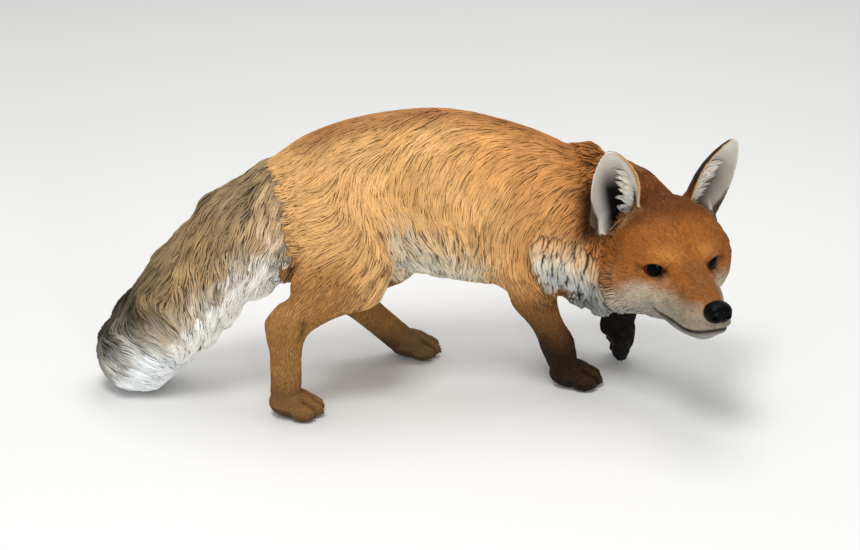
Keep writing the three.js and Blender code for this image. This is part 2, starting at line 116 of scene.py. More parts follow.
def soft_light(name, place, size, power):
    """A square studio light that faces the figure."""
    data = bpy.data.lights.new(name, "AREA")
    data.shape = "SQUARE"
    data.size = size
    data.energy = power
    lamp = bpy.data.objects.new(name, data)
    lamp.location = place
    lamp.rotation_euler = (Vector(place) - LIGHTS_AIM).to_track_quat("Z", "Y").to_euler()
    bpy.context.collection.objects.link(lamp)


soft_light("key_light", (-0.5, -0.9, 2.4), 0.8, 31)
soft_light("top_light", (0.3, 0.6, 2.4), 1.4, 18)
soft_light("glint_light", (0.29, -2.56, 0.47), 0.26, 17)

# ---- Hide ---------------------------------------------------------------------------------------
# The cast surface of the whole animal in one skin: trunk, neck, head, ears, legs, paws and brush.
# It is thick resin with no seam, smooth where long fur is carved over it and finer on the face.

FLESH = (
    "torso", "neck", "tail_root", "tail_mid", "tail_tip", "head", "jaw",
    "hind_leg_right", "hind_leg_left", "fore_leg_right", "fore_leg_left",
    "paw_hind_right", "paw_hind_left", "paw_fore_right", "paw_fore_left",
    "ear_right", "ear_left",
)
FILLERS = ("eye_right", "eye_left", "nose")
KERF = 0.0002  # swells each solid until it overlaps its neighbours
VOXEL = 0.0016
HIDE_TRIANGLES = 175000
MM = 0.001
SWELLS = (  # middles and half sizes, mm
    ((160, -45, 152), (30, 25, 33)),  # the fold between the right cheek and the ruff
    ((-132, -60, 147), (25, 16, 26)),  # the back of the right thigh
    ((-167, -8, 161), (35, 26, 27)),  # under the root of the brush
    ((-196, -4, 139), (30, 24, 24)),
    ((-146, -70, 111), (6, 10.6, 16)),  # the crease beside the right hock
)

SIDES = (("right", -1), ("left", 1))
eye_middle = {side: sum(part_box(f"eye_{side}"), Vector()) / 2 for side, _ in SIDES}
HEAD_LEFT = (eye_middle["left"] - eye_middle["right"]).normalized()
HEAD_PITCH = math.radians(2)
EYE_BACK = 10 * MM
head_turn = Matrix.Rotation(math.atan2(HEAD_LEFT.y, HEAD_LEFT.x) - math.pi / 2, 4, "Z")
head_turn = head_turn @ Matrix.Rotation(HEAD_PITCH, 4, "Y")
head_origin = (eye_middle["left"] + eye_middle["right"]) / 2 + head_turn @ Vector((EYE_BACK, 0, 0))
HEAD = np.array(Matrix.Translation(head_origin) @ head_turn)


def in_head(points):
    """Points in the head's own frame, in mm: forward, to its left and up from between the eyes."""
    return (points - HEAD[:3, 3]) @ HEAD[:3, :3] / MM


def from_head(local):
    return local * MM @ HEAD[:3, :3].T + HEAD[:3, 3]


def in_trunk(points):
    """Along, across and up from the floor under the middle of the trunk, in mm."""
    return ((points - np.array(TRUNK)) / MM).T


def mirrored(place, side):
    """A place or a direction on the left of the head, or its twin on the right."""
    return np.array((place[0], side * place[1], place[2]))


def smooth_step(values, low, high):
    """0 below the low value and 1 over the high one, with a soft change between."""
    t = np.clip((values - low) / (high - low), 0, 1)
    return t * t * (3 - 2 * t)


EAR = dict(height=93, fold=(1.6, 1.05), thick=(4.6, 3.0), lean=8, nod=17.5, drop=22.5, root=0.14)
EAR_BASE = (-66, 49, 29)
EAR_RISE = (0, 0.15, 0.35, 0.55, 0.75, 0.9, 1)
EAR_HALF = (23, 25.5, 27, 25.5, 20, 13, 5.5)
EAR_YAW = {-1: 22.5, 1: 15}
EAR_CUTS = (26, 22)  # along and across the plate
EAR_FLOOR_AT = (-54, 73, 18)  # the floor of the opening, and the way out of it
EAR_FLOOR_UP = (-0.58, 0.54, 0.60)
EAR_TUFT_RISE = {-1: 0.45, 1: 0.8}
# Where the tufts root, from -1 at the inner rim to 1 at the outer.
EAR_TUFT_BAND = {-1: (-0.7, -0.42), 1: (-0.34, 0.04)}


def ear_turn(side):
    """The ear's own frame in the head's: its cup opens along +X."""
    return (
        Matrix.Rotation(math.radians(EAR_YAW[side]) * side, 3, "Z")
        @ Matrix.Rotation(math.radians(EAR["nod"]), 3, "Y")
        @ Matrix.Rotation(-math.radians(EAR["lean"]) * side, 3, "X")
    )


def ear_form(side):
    """One ear: a plate bent into a cup, thin at its rim."""
    form = bmesh.new()
    bmesh.ops.create_cube(form, size=1)
    long_edges = [e for e in form.edges if abs(e.verts[0].co.z - e.verts[1].co.z) > 0.5]
    bmesh.ops.subdivide_edges(form, edges=long_edges, cuts=EAR_CUTS[0])
    cross_edges = [e for e in form.edges if abs(e.verts[0].co.y - e.verts[1].co.y) > 0.5]
    bmesh.ops.subdivide_edges(form, edges=cross_edges, cuts=EAR_CUTS[1])
    turn = ear_turn(side)
    for vert in form.verts:
        across, wall, rise = vert.co.y * 2, vert.co.x, vert.co.z + 0.5
        rise = -EAR["root"] + (1 + EAR["root"]) * rise
        up = max(rise, 0)
        fold = EAR["fold"][0] + (EAR["fold"][1] - EAR["fold"][0]) * math.sqrt(up)
        half = float(np.interp(up, EAR_RISE, EAR_HALF))
        radius = half / math.sin(min(fold, 1.5))
        thick = EAR["thick"][0] + (EAR["thick"][1] - EAR["thick"][0]) * up
        thick *= 1 - 0.35 * abs(across) ** 2
        angle = fold * across
        place = turn @ Vector((
            radius * (math.cos(fold) - math.cos(angle)) + wall * thick * math.cos(angle),
            (radius - wall * thick) * math.sin(angle),
            rise * EAR["height"] - EAR["drop"] * side * across * (1 - up),
        ))
        vert.co = Matrix(HEAD) @ ((place + Vector(mirrored(EAR_BASE, side))) * MM)
    bmesh.ops.recalc_face_normals(form, faces=form.faces)
    return form


def in_ear(local, side):
    """Points of the head's frame in the ear's own: ahead, to the left and up from its root."""
    return (local - mirrored(EAR_BASE, side)) @ np.array(ear_turn(side))


def ear_cut(local, side):
    """Which points lie before an ear's cup, and how far over the floor of its opening, in mm."""
    ahead, left, up = in_ear(local, side).T
    rise = np.clip(up / EAR["height"], 0, 1)
    fold = EAR["fold"][0] + (EAR["fold"][1] - EAR["fold"][0]) * np.sqrt(rise)
    half = np.interp(rise, EAR_RISE, EAR_HALF)
    radius = half / np.sin(np.minimum(fold, 1.5))
    cup = radius * (np.cos(fold) - np.sqrt(np.clip(1 - (left / radius) ** 2, 0, 1)))
    over = (local - mirrored(EAR_FLOOR_AT, side)) @ mirrored(EAR_FLOOR_UP, side)
    return (ahead > cup) & (np.abs(left) < half + 2) & (up < 60) & (up > -45), over


cast = bmesh.new()
for name in FLESH + FILLERS:
    if name.startswith("ear_"):
        piece = ear_form(1 if name == "ear_left" else -1)
    else:
        piece = bmesh.new()
        piece.from_mesh(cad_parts[name].data)
        bmesh.ops.remove_doubles(piece, verts=piece.verts, dist=1e-6)
        piece.normal_update()
        middle = sum(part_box(name), Vector()) / 2
        for vert in piece.verts:
            vert.co += vert.normal * KERF
            if name == "nose":
                vert.co = middle + (vert.co - middle) * 0.8
    shell = bpy.data.meshes.new("shell")
    piece.to_mesh(shell)
    piece.free()
    cast.from_mesh(shell)
    bpy.data.meshes.remove(shell)
for middle, half in SWELLS:
    swell = Matrix.Diagonal((*[r * MM for r in half], 1))
    swell = Matrix.Translation(TRUNK + Vector(middle) * MM) @ swell
    bmesh.ops.create_uvsphere(cast, u_segments=32, v_segments=20, radius=1, matrix=swell)


def applied(obj):
    """Bakes an object's modifiers into its mesh."""
    graph = bpy.context.evaluated_depsgraph_get()
    made = bpy.data.meshes.new_from_object(obj.evaluated_get(graph))
    obj.modifiers.clear()
    old = obj.data
    obj.data = made
    bpy.data.meshes.remove(old)


def give_weights(obj, name, weights):
    """A vertex group with a weight for each point of the object."""
    group = obj.vertex_groups.new(name=name)
    for weight in sorted(set(weights.tolist())):
        group.add(np.flatnonzero(weights == weight).tolist(), weight, "REPLACE")


def rows_of(items, field):
    """A field of three numbers of every item of a mesh, one row each."""
    values = np.empty(len(items) * 3, np.float32)
    items.foreach_get(field, values)
    return values.reshape(-1, 3).astype(float)


hide_paint, hide_shader = shader_of("hide_paint")
hide = object_of("hide", cast, hide_paint)
remesh = hide.modifiers.new("remesh", "REMESH")
remesh.mode = "VOXEL"
remesh.voxel_size = VOXEL
applied(hide)

solids = bmesh.new()
node_of_face = []
for name in FLESH:
    before = len(solids.faces)
    solids.from_mesh(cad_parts[name].data)
    node_of_face += [name] * (len(solids.faces) - before)
nearest_node = BVHTree.FromBMesh(solids)
solids.free()
NODE_INDEX = {name: i for i, name in enumerate(FLESH)}
EAR_STARTS = 10  # height in the head's frame, mm, under which an ear's root is painted as neck
# The seam between the haunch and the brush: heights and places along, mm.
SEAM = ((160, 165, 177, 210, 240, 257, 290), (-900, -149, -152, -154, -156, -159, -172))


def nodes_at(points):
    """The index in FLESH of the solid that each point lies on; the brush starts at its seam."""
    found = np.array([
        NODE_INDEX[node_of_face[nearest_node.find_nearest(p)[2]]] for p in points.tolist()
    ])
    x, _, z = in_trunk(points)
    found[(found == NODE_INDEX["torso"]) & (x < np.interp(z, *SEAM))] = NODE_INDEX["tail_root"]
    local = in_head(points)
    for name, side in SIDES:
        ahead, over = ear_cut(local, side)
        ear = NODE_INDEX[f"ear_{name}"]
        found[ahead & (over > -2.2)] = ear
        found[(found == ear) & (local[:, 2] < EAR_STARTS)] = NODE_INDEX["neck"]
    return found


def among(zones, *words):
    """Which points lie on the solids whose names start with any of the words."""
    return np.isin(zones, [i for name, i in NODE_INDEX.items() if name.startswith(words)])


def by_solid(zones, amounts):
    """An amount for each point, from a table of amounts by the solids' names."""
    chosen = np.ones(len(zones))
    for word, amount in amounts.items():
        chosen[among(zones, word)] = amount
    return chosen


SOFTNESS = {"head": 0.22, "jaw": 0.15, "hind_leg": 0.6, "fore_leg": 0.6, "paw": 0.04, "ear": 0.06}
softness = by_solid(nodes_at(rows_of(hide.data.vertices, "co")), SOFTNESS)
give_weights(hide, "soft", softness)
smooth = hide.modifiers.new("smooth", "SMOOTH")
smooth.factor = 0.5
smooth.iterations = 70
smooth.vertex_group = "soft"
applied(hide)

# The modelled face: sockets, lids, lips and the hollows in front of the ears.
EYE_RADIUS = 14
EYE_SIDE = (eye_middle["left"] - eye_middle["right"]).length / MM / 2
GAZE_TURN = math.radians(33)  # the middle of the opening between the lids
PUPIL_TURN, PUPIL_DROP = math.radians(29), -0.03
LID_WIDE, LID_UPPER, LID_LOWER, LID_TILT, LID_THICK = 12.3, 6.9, 6.9, math.radians(-2), 1.2
LID_DROP = 1.4  # how far the lids' middle line lies below the eyeball's
NOSE_AT = (80.5, 2.0, -16.6)
NOSE_HALF = (12.0, 14.0, 10.6)
FACE_FORMS = (  # place on the left, half sizes and swell, mm
    ((32, 21, -46), (30, 13, 12), 6.0),  # side of the lips
    ((26, 8, -58), (30, 16, 12), 3.0),  # lower jaw
    ((4, 17, 17), (16, 10, 9), 3.0),  # brow
    ((16, 14, -4), (12, 8, 9), -2.5),  # hollow inside the eye
    ((34, 18, -22), (24, 10, 9), -2.0),  # side of the muzzle
    ((62, 14, -34), (16, 10, 10), 2.2),  # whisker pad
    ((-6, 36, -16), (16, 12, 9), 1.5),  # cheekbone
)
EAR_HOLLOW = ((20, 6, 0), (20, 20, 24), -9.0)  # the same, in the frame of the ear
HEAD_REACH = 150  # of the sculpting, mm, round a place behind the eyes
LID_PLUMP, SOCKET_DEEP = 0.5, 1.8
LIP_GROOVE, LIP_ROLL = 3.0, 0.9
PHILTRUM = 1.4
SOLE_HEIGHT = 0.0003  # of the soles over the floor
MOUTH_AHEAD = (4, 14, 26, 40, 52, 62, 74, 84, 100)
MOUTH_HEIGHT = (-45.5, -43.5, -41.5, -41.2, -41.8, -42, -40, -37, -37)


def eye_polar(local, side):
    """Offset and distance from the eyeball's middle, and mm across and up from its gaze."""
    from_eye = local - mirrored((-EYE_BACK / MM, EYE_SIDE, 0), side)
    gaze = mirrored((math.cos(GAZE_TURN), math.sin(GAZE_TURN), 0), side)
    out = mirrored((-math.sin(GAZE_TURN), math.cos(GAZE_TURN), 0), side)
    reach = np.linalg.norm(from_eye, axis=1)
    across = np.arctan2(from_eye @ out, from_eye @ gaze) * EYE_RADIUS
    up = np.arcsin(np.clip(from_eye[:, 2] / np.maximum(reach, 1e-9), -1, 1)) * EYE_RADIUS
    tilted = across * math.cos(LID_TILT) + up * math.sin(LID_TILT)
    raised = up * math.cos(LID_TILT) - across * math.sin(LID_TILT) + LID_DROP
    return from_eye, reach, tilted, raised


def lid_edge(across, raised):
    """How far above or below its middle line the opening between the lids ends."""
    high = np.where(raised > 0, LID_UPPER, LID_LOWER)
    return high * np.clip(1 - np.abs(across / LID_WIDE) ** 2.1, 0, 1) ** 0.8


def past_lid(across, raised):
    """How far, in mm, a place on the eyeball lies outside the opening."""
    beside = np.hypot(np.maximum(np.abs(across) - LID_WIDE, 0), raised)
    within = np.abs(across) < LID_WIDE
    return np.where(within, np.abs(raised) - lid_edge(across, raised), np.maximum(beside, 0.01))


def tear_line(across, raised):
    """Distance, in mm, from the dark line that runs down from the inner corner of the lids."""
    beyond = np.maximum(-across - 18, 0) + np.maximum(across + 10.5, 0)
    return np.abs(raised - (across + 12) * 0.9 + 0.6) * 0.75 + beyond


def band(values, middle, width):
    """1 at the middle and falling away to both sides."""
    return np.exp(-(((values - middle) / width) ** 2))


def push(local, normals, place, radius, amount, mask):
    """Swells or presses the surface round a place, along its own normals."""
    near = band(np.linalg.norm((local - place) / radius, axis=1), 0, 1)
    local += normals * (near * amount * mask)[:, None]


hide_points = rows_of(hide.data.vertices, "co")
zones = nodes_at(hide_points)
is_ear = among(zones, "ear")
near_head = np.linalg.norm(in_head(hide_points) + (20, 0, 0), axis=1) < HEAD_REACH
local = in_head(hide_points[near_head])
local_normals = rows_of(hide.data.vertex_normals, "vector")[near_head] @ HEAD[:3, :3]
bare = ~is_ear[near_head]
for side in (-1, 1):
    at, half, swell = EAR_HOLLOW
    hollow = np.array(ear_turn(side)) @ mirrored(at, side) + mirrored(EAR_BASE, side)
    push(local, local_normals, hollow, half, swell, bare)
    for at, half, swell in FACE_FORMS:
        push(local, local_normals, mirrored(at, side), half, swell, bare)
    ahead, over = ear_cut(local, side)
    cut = ahead & bare & (over > 0)
    local[cut] -= np.outer(over[cut] + 1, mirrored(EAR_FLOOR_UP, side))
    from_eye, reach, across, raised = eye_polar(local, side)
    facing = from_eye @ mirrored((math.cos(GAZE_TURN), math.sin(GAZE_TURN), 0), side) > 2
    edge = past_lid(across, raised)
    lid = EYE_RADIUS + LID_THICK + LID_PLUMP * smooth_step(edge, 0, 3) * (raised > 0)
    rim = EYE_RADIUS - SOCKET_DEEP
    rim = rim + (lid - EYE_RADIUS + SOCKET_DEEP) * smooth_step(edge, -0.9, 0.7)
    wanted = rim + (reach - rim) * smooth_step(edge, 2.0, 8.0)
    wanted = np.where(edge > 2.0, np.maximum(wanted, lid), wanted)
    moved = facing & bare & (edge < 9) & (reach < EYE_RADIUS + 12)
    local[moved] += from_eye[moved] * (wanted / reach - 1)[moved, None]
lips = local[:, 2] - np.interp(local[:, 0], MOUTH_AHEAD, MOUTH_HEIGHT)
along_mouth = smooth_step(local[:, 0], -6, 6)
local -= local_normals * (LIP_GROOVE * band(lips, 0, 1.7) * along_mouth)[:, None]
local += local_normals * (LIP_ROLL * band(np.abs(lips), 4.5, 3) * along_mouth)[:, None]

PAWS = {  # the middle of each sole in the trunk's frame, in mm, then its turn and its tilt
    "paw_hind_right": ((-156, -65, 0), -0.1, 0), "paw_hind_left": ((-11, 65, 0), 0, 0),
    "paw_fore_right": ((158, -34, 0), -0.05, 0), "paw_fore_left": ((209, 20, 34), 0, 1.35),
}
TOE_AHEAD = ((-16.5, 8), (-6.5, 17), (6.5, 17), (16.5, 8))  # each toe's place across and ahead
TOE_GAPS, TOE_SPLAY = (-11.8, 0, 11.8), 0.012
TOE_GROOVE = 2.6


def paw_frame(name):
    place, turn, tilt = PAWS[name]
    moved = Matrix.Translation(TRUNK + Vector(place) * MM)
    return moved @ Matrix.Rotation(turn, 4, "Z") @ Matrix.Rotation(tilt, 4, "Y")


def in_paw(points, name):
    """Points in a paw's own frame, in mm: ahead, to its left and up from the middle of its sole."""
    frame_of = np.array(paw_frame(name))
    return (points - frame_of[:3, 3]) @ frame_of[:3, :3] / MM


def toe_grooves(points, name):
    """How deep a point lies between two toes, from 0 to 1, and how far out it is on a toe."""
    ahead, side, _ = in_paw(points, name).T
    groove = sum(band(side, gap * (1 + TOE_SPLAY * ahead), 1.7) for gap in TOE_GAPS)
    return groove * smooth_step(ahead, 3, 12), smooth_step(ahead, 0, 18)


philtrum = band(local[:, 1], 0, 1.4) * smooth_step(local[:, 0], 66, 74) * smooth_step(lips, 0, 3)
local -= local_normals * (PHILTRUM * philtrum)[:, None]
hide_points[near_head] = from_head(local)
smooth_normals = rows_of(hide.data.vertex_normals, "vector")
for name in PAWS:
    there = among(zones, name)
    groove, _ = toe_grooves(hide_points[there], name)
    hide_points[there] -= smooth_normals[there] * (groove * TOE_GROOVE * MM)[:, None]
hide_points[:, 2] = np.maximum(hide_points[:, 2], SOLE_HEIGHT)
hide.data.vertices.foreach_set("co", hide_points.ravel())

detail = np.where(among(zones, "head", "jaw", "ear", "paw"), 1.0, 0.05)
give_weights(hide, "detail", detail)
thin = hide.modifiers.new("thin", "DECIMATE")
thin.ratio = min(1.0, HIDE_TRIANGLES / (2 * len(hide.data.polygons)))
thin.vertex_group = "detail"
thin.invert_vertex_group = True
thin.vertex_group_factor = 4
thin.use_collapse_triangulate = True
applied(hide)
hide.vertex_groups.clear()
hide.data.polygons.foreach_set("use_smooth", [True] * len(hide.data.polygons))

# Where hair grows: the hide's triangles, their solids and a tree that finds the nearest place.
hide_points = rows_of(hide.data.vertices, "co")
hide_normals = rows_of(hide.data.vertex_normals, "vector")
corners = np.empty(len(hide.data.polygons) * 3, np.int32)
hide.data.polygons.foreach_get("vertices", corners)
corners = corners.reshape(-1, 3)
edge_a, edge_b = (hide_points[corners[:, i]] - hide_points[corners[:, 0]] for i in (1, 2))
patch_area = np.linalg.norm(np.cross(edge_a, edge_b), axis=1) / 2
patch_middle = hide_points[corners].mean(axis=1)
patch_zone = nodes_at(patch_middle)
hide_tree = BVHTree.FromPolygons(hide_points.tolist(), corners.tolist())


def unit(vectors):
    return vectors / np.maximum(np.linalg.norm(vectors, axis=1), 1e-12)[:, None]


def settle(points):
    """The nearest places on the hide, and the hide's normals there."""
    hits = [hide_tree.find_nearest(p) for p in points.tolist()]
    places = np.array([h[0] for h in hits])
    normals = hide_normals[corners[[h[2] for h in hits]]].mean(axis=1)
    return places, unit(normals)


# ---- Painted markings ---------------------------------------------------------------------------
# The whole figure is sprayed, with painted shade and highlights over its carving: tan body, deeper
# back, pale throat, belly and lips, grey-beige brush with a white tip, and legs that darken into
# near-black feet.

def paint(code):
    """A paint colour from its six-figure code, as the linear red, green and blue."""
    shades = np.array([int(code[i:i + 2], 16) / 255 for i in (0, 2, 4)])
    return np.where(shades <= 0.04045, shades / 12.92, ((shades + 0.055) / 1.055) ** 2.4)


def drift(points, size, turn=0.0):
    """A smooth wandering value between -1 and 1 whose waves are about the given size in mm."""
    q = points / MM / size * 2 * math.pi
    waves = (
        np.sin(q @ (0.71, 0.42, 0.55) + turn + 1.3 * np.sin(q @ (-0.31, 0.62, 0.2) + 2 * turn))
        + np.sin(q @ (-0.52, 0.33, 0.83) + 1.7 * turn + 1.3 * np.sin(q @ (0.5, 0.1, -0.45) + turn))
        + np.sin(q @ (0.15, -0.88, 0.4) + 2.3 * turn)
    )
    return waves / 3


TAIL_ROOT = np.array(TRUNK) + np.array((-150, 0, 225)) * MM
TAIL_TIP = np.array(TRUNK) + np.array((-336, 29, 32)) * MM
TAIL_LONG = np.linalg.norm(TAIL_TIP - TAIL_ROOT)
TAIL_AXIS = (TAIL_TIP - TAIL_ROOT) / TAIL_LONG
TAIL_TOP = np.array((-0.69, 0, 0.72))


def along_tail(points):
    """How far along the brush a point lies, from 0 to 1, and how far towards its upper side."""
    offset = points - TAIL_ROOT
    t = offset @ TAIL_AXIS / TAIL_LONG
    beside = offset - np.outer(t * TAIL_LONG, TAIL_AXIS)
    beside /= np.maximum(np.linalg.norm(beside, axis=1), 1e-9)[:, None]
    return t, beside @ TAIL_TOP


def plain(code, points):
    return np.tile(paint(code), (len(points), 1))


def mixed(base, colour, share):
    """Colours with a share of another over them, given as a code or as colours of its own."""
    colour = paint(colour) if isinstance(colour, str) else colour
    return base + (colour - base) * np.clip(share, 0, 1)[:, None]


BELLY_EDGE = ((-74, -58, -35, -10, 20, 55), (160, 208, 212, 200, 186, 160))  # along and up, mm
RUFF_EDGE = ((118, 131, 152, 167, 184, 192), (124, 117, 107, 101, 97, 104))  # up and along
RUFF_TOP = ((92, 105, 135, 160, 172, 200), (184, 194, 188, 176, 162, 146))  # along and up
PALE_EDGE = (  # forward and up, in the head's frame
    (-90, -50, -37, -20, -8, 2, 16, 28, 49, 66, 80),
    (-34, -39, -38, -27, -18, -18, -17, -15, -16, -17, -17),
)


def trunk_paint(points, normals):
    """Tan body with a deeper spine and thigh, pale belly, and a cream to grey-white ruff, with
    painted shade.
    """
    x, y, z = in_trunk(points)
    ragged = drift(points, 46, 1.0) * 9
    colour = plain("e0b074", points)
    colour = mixed(colour, "c9965a", smooth_step(drift(points, 75, 2.0), 0.0, 0.8) * 0.6)
    colour = mixed(colour, "dfa35f", smooth_step(x, 20, 60) * smooth_step(z, 225, 260) * 0.7)
    colour = mixed(colour, "c98f55", smooth_step(x + ragged, 60, 100) * 0.8)
    colour = mixed(colour, "b47338", smooth_step(x + ragged, 120, 165) * 0.9)
    shadow = smooth_step(x + 0.5 * ragged, 148, 163) * smooth_step(z, 174, 192)
    colour = mixed(colour, "2a1408", shadow * (1 - smooth_step(z, 226, 252)) * 0.93)
    colour = mixed(colour, "8d6034", band(x, -115, 30) * smooth_step(z, 272, 298) * 0.7)
    colour = mixed(colour, "7a5024", smooth_step(x, 50, 80) * smooth_step(-z, -140, -104) * 0.85)
    spine = smooth_step(normals[:, 2], 0.72, 0.98) * smooth_step(z + ragged, 240, 285)
    colour = mixed(colour, "9a6233", spine * 0.75)
    thigh = smooth_step(-x, 70, 105) * smooth_step(-z + ragged, -196, -168)
    colour = mixed(colour, "a9763c", thigh * 0.8)
    brink = np.interp(x, *BELLY_EDGE) + drift(points, 17, 6.0) * 14
    belly = smooth_step(brink - z, -6, 10) * smooth_step(x, -76, -60) * (1 - smooth_step(x, 44, 62))
    belly *= 1 - smooth_step(np.abs(y), 60, 66) * (x < -50)
    colour = mixed(colour, "e0ceb0", belly * 0.9)
    under = smooth_step(-normals[:, 2], 0.15, 0.7) * smooth_step(x, -90, -60)
    colour = mixed(colour, "d6cfbe", under * (z > 140) * (np.abs(y) < 45))
    edge = x - np.interp(z, *RUFF_EDGE)
    top = np.interp(x, *RUFF_TOP)
    ruff = smooth_step(top - z + drift(points, 16, 3.0) * 10, -8, 14) * smooth_step(edge, -1.5, 2.5)
    ruff *= np.maximum(smooth_step(z, 125, 133), smooth_step(x, 143, 150))
    colour = mixed(colour, "cda676", ruff)
    colour = mixed(colour, "ded0b4", ruff * smooth_step(top - z, 8, 22))
    # Grey-white low on the ruff, partly its own paint, partly painted shade; more painted shade
    # forward and low, under the jaw.
    colour = mixed(colour, "b2b4b2", ruff * smooth_step(top - z, 16, 38) * 0.95)
    colour = mixed(colour, "7c7c77", ruff * smooth_step(x - z, 2, 46) * 0.8)
    # painted shade in a dark line down the crease at the ruff's rear edge
    return mixed(colour, "5a4028", band(edge, -2.0, 2.0) * (z < 178) * (z > 120) * 0.7)


def tail_paint(points, normals):
    """Grey-beige brush with a dark-ticked upper side, a pale under side and a white tip."""
    t, top = along_tail(points)
    x, _, z = in_trunk(points)
    ragged = drift(points, 30, 2.0)
    top = top + 0.22 * ragged
    colour = plain("ac9168", points)
    colour = mixed(colour, "91866e", smooth_step(drift(points, 24, 5.0), -0.1, 0.7) * 0.7)
    colour = mixed(colour, "c4a26e", band(t, 0.33, 0.12) * smooth_step(top, 0.4, 0.7) * 0.8)
    warm = smooth_step(drift(points, 15, 8.0), 0.2, 0.7) * band(t, 0.4, 0.2)
    colour = mixed(colour, "b47c3e", warm * 0.6)
    root = (1 - smooth_step(t, 0.04, 0.22)) * (1 - smooth_step(top, 0.45, 0.8))
    colour = mixed(colour, "cfae86", root)
    colour = mixed(colour, "fbf8ef", smooth_step(-top, -0.28, 0.18) * smooth_step(t, 0.08, 0.22))
    ridge = smooth_step(top, 0.62, 0.95) * smooth_step(t, -0.08, 0.0)
    colour = mixed(colour, "8a7656", ridge * 0.8)
    speckle = smooth_step(drift(points, 8, 4.0), 0.3, 0.6) * smooth_step(top, 0.5, 0.9)
    colour = mixed(colour, "40362a", speckle * 0.8)
    colour = mixed(colour, "332b20", smooth_step(top, 0.2, 0.6) * band(t, 0.73, 0.085) * 0.95)
    tip = mixed(plain("f6fafa", points), "b0a898", smooth_step(top, 0.1, 0.6))
    tip = mixed(tip, "4c463c", smooth_step(top, 0.68, 0.92))
    colour = mixed(colour, tip, smooth_step(t + ragged * 0.04, 0.74, 0.86))
    # Painted shade on the brush just behind its seam, under the haunch's overhanging tufts.
    seam = x - np.interp(z, SEAM[0][1:], SEAM[1][1:])
    return mixed(colour, "4a3a2a", smooth_step(seam, -7, -1) * smooth_step(262 - z, 0, 12) * 0.7)


def head_paint(points, normals):
    """Red-brown mask with a painted highlight on the brow, a pale jaw greyed below by painted
    shade, dark lips, and lined eyes.
    """
    local = in_head(points)
    a, b, c = local.T
    side = np.abs(b)
    ragged = drift(points, 24, 0.5) * 3
    colour = plain("a8652a", points)
    temple = band(a, -30, 20) * band(c, 12, 20) * smooth_step(side, 30, 48)
    colour = mixed(colour, "8e5522", temple * 0.7)
    crown = smooth_step(c + ragged + smooth_step(-a, 10, 50) * 14, 34, 58)
    colour = mixed(colour, "6a3a16", crown * 0.85)
    # Painted highlight on the brow over each eye.
    brow_highlight = band(a, -2, 14) * band(side, 20, 12) * band(c, 15, 7)
    colour = mixed(colour, "e09a4e", brow_highlight * 0.9)
    bridge = smooth_step(a, 6, 30) * (1 - smooth_step(side, 9, 16))
    colour = mixed(colour, "8c5624", bridge * 0.9)
    cheek = band(a, -34, 15) * band(c, -20, 12) * smooth_step(side, 34, 46)
    colour = mixed(colour, "c2946a", cheek * 0.6)
    pale_edge = np.interp(a, *PALE_EDGE)
    pale = smooth_step(pale_edge - c + drift(points, 12, 2.5) * 3 + ragged, -11, 13)
    colour = mixed(colour, "cdbda6", pale)
    colour = mixed(colour, "897e6c", pale * smooth_step(a, 10, 36) * 0.85)
    # Painted shade, grey, low under the jaw.
    colour = mixed(colour, "a8a49e", smooth_step(pale_edge - 14 - c, 0, 16) * 0.85)
    smudge = band(a, 40, 20) * band(side, 17, 9) * band(c, -14, 9)
    colour = mixed(colour, "74491f", smudge * 0.8)
    hollow = band(a, 14, 10) * band(side, 16, 6) * band(c, -10, 8)
    colour = mixed(colour, "8c5628", hollow * 0.7)
    lips = c - np.interp(a, MOUTH_AHEAD, MOUTH_HEIGHT)
    colour = mixed(colour, "0c0a0a", band(lips, -0.4, 1.9) * smooth_step(a, -4, 5) * 1.3)
    colour = mixed(colour, "4a4440", band(lips, -2, 4) * smooth_step(a, -6, 8) * 0.4)
    nose = np.linalg.norm((local - NOSE_AT) / NOSE_HALF, axis=1)
    colour = mixed(colour, "120d0b", 1 - smooth_step(nose, 1.02, 1.22))
    for s in (-1, 1):
        _, reach, across, raised = eye_polar(local, s)
        near = (reach < EYE_RADIUS + 6) & (b * s > 4)
        liner, tear = past_lid(across, raised), tear_line(across, raised)
        colour = mixed(colour, "140b07", near * (1 - smooth_step(liner, 0.6, 2.0)))
        colour = mixed(colour, "1a0f0a", near * (1 - smooth_step(tear, 0.5, 1.7)) * 0.9)
        corner = np.abs(raised - 1.0) + np.maximum(across - 20, 0) * 0.6
        corner += np.maximum(10 - across, 0)
        colour = mixed(colour, "5a3216", near * (1 - smooth_step(corner, 0.5, 3.5)) * 0.6)
        ahead, over = ear_cut(local, s)
        colour = mixed(colour, "ba9468", ahead * band(over, -4.5, 3.5) * 0.8)
    return colour


# Where painted shade darkens each ear's cup, and to what:
# black in the right ear, grey in the left.
EAR_CUP_SHADE = {-1: (0.28, 0.92, "030202"), 1: (0.3, 1.2, "55524f")}


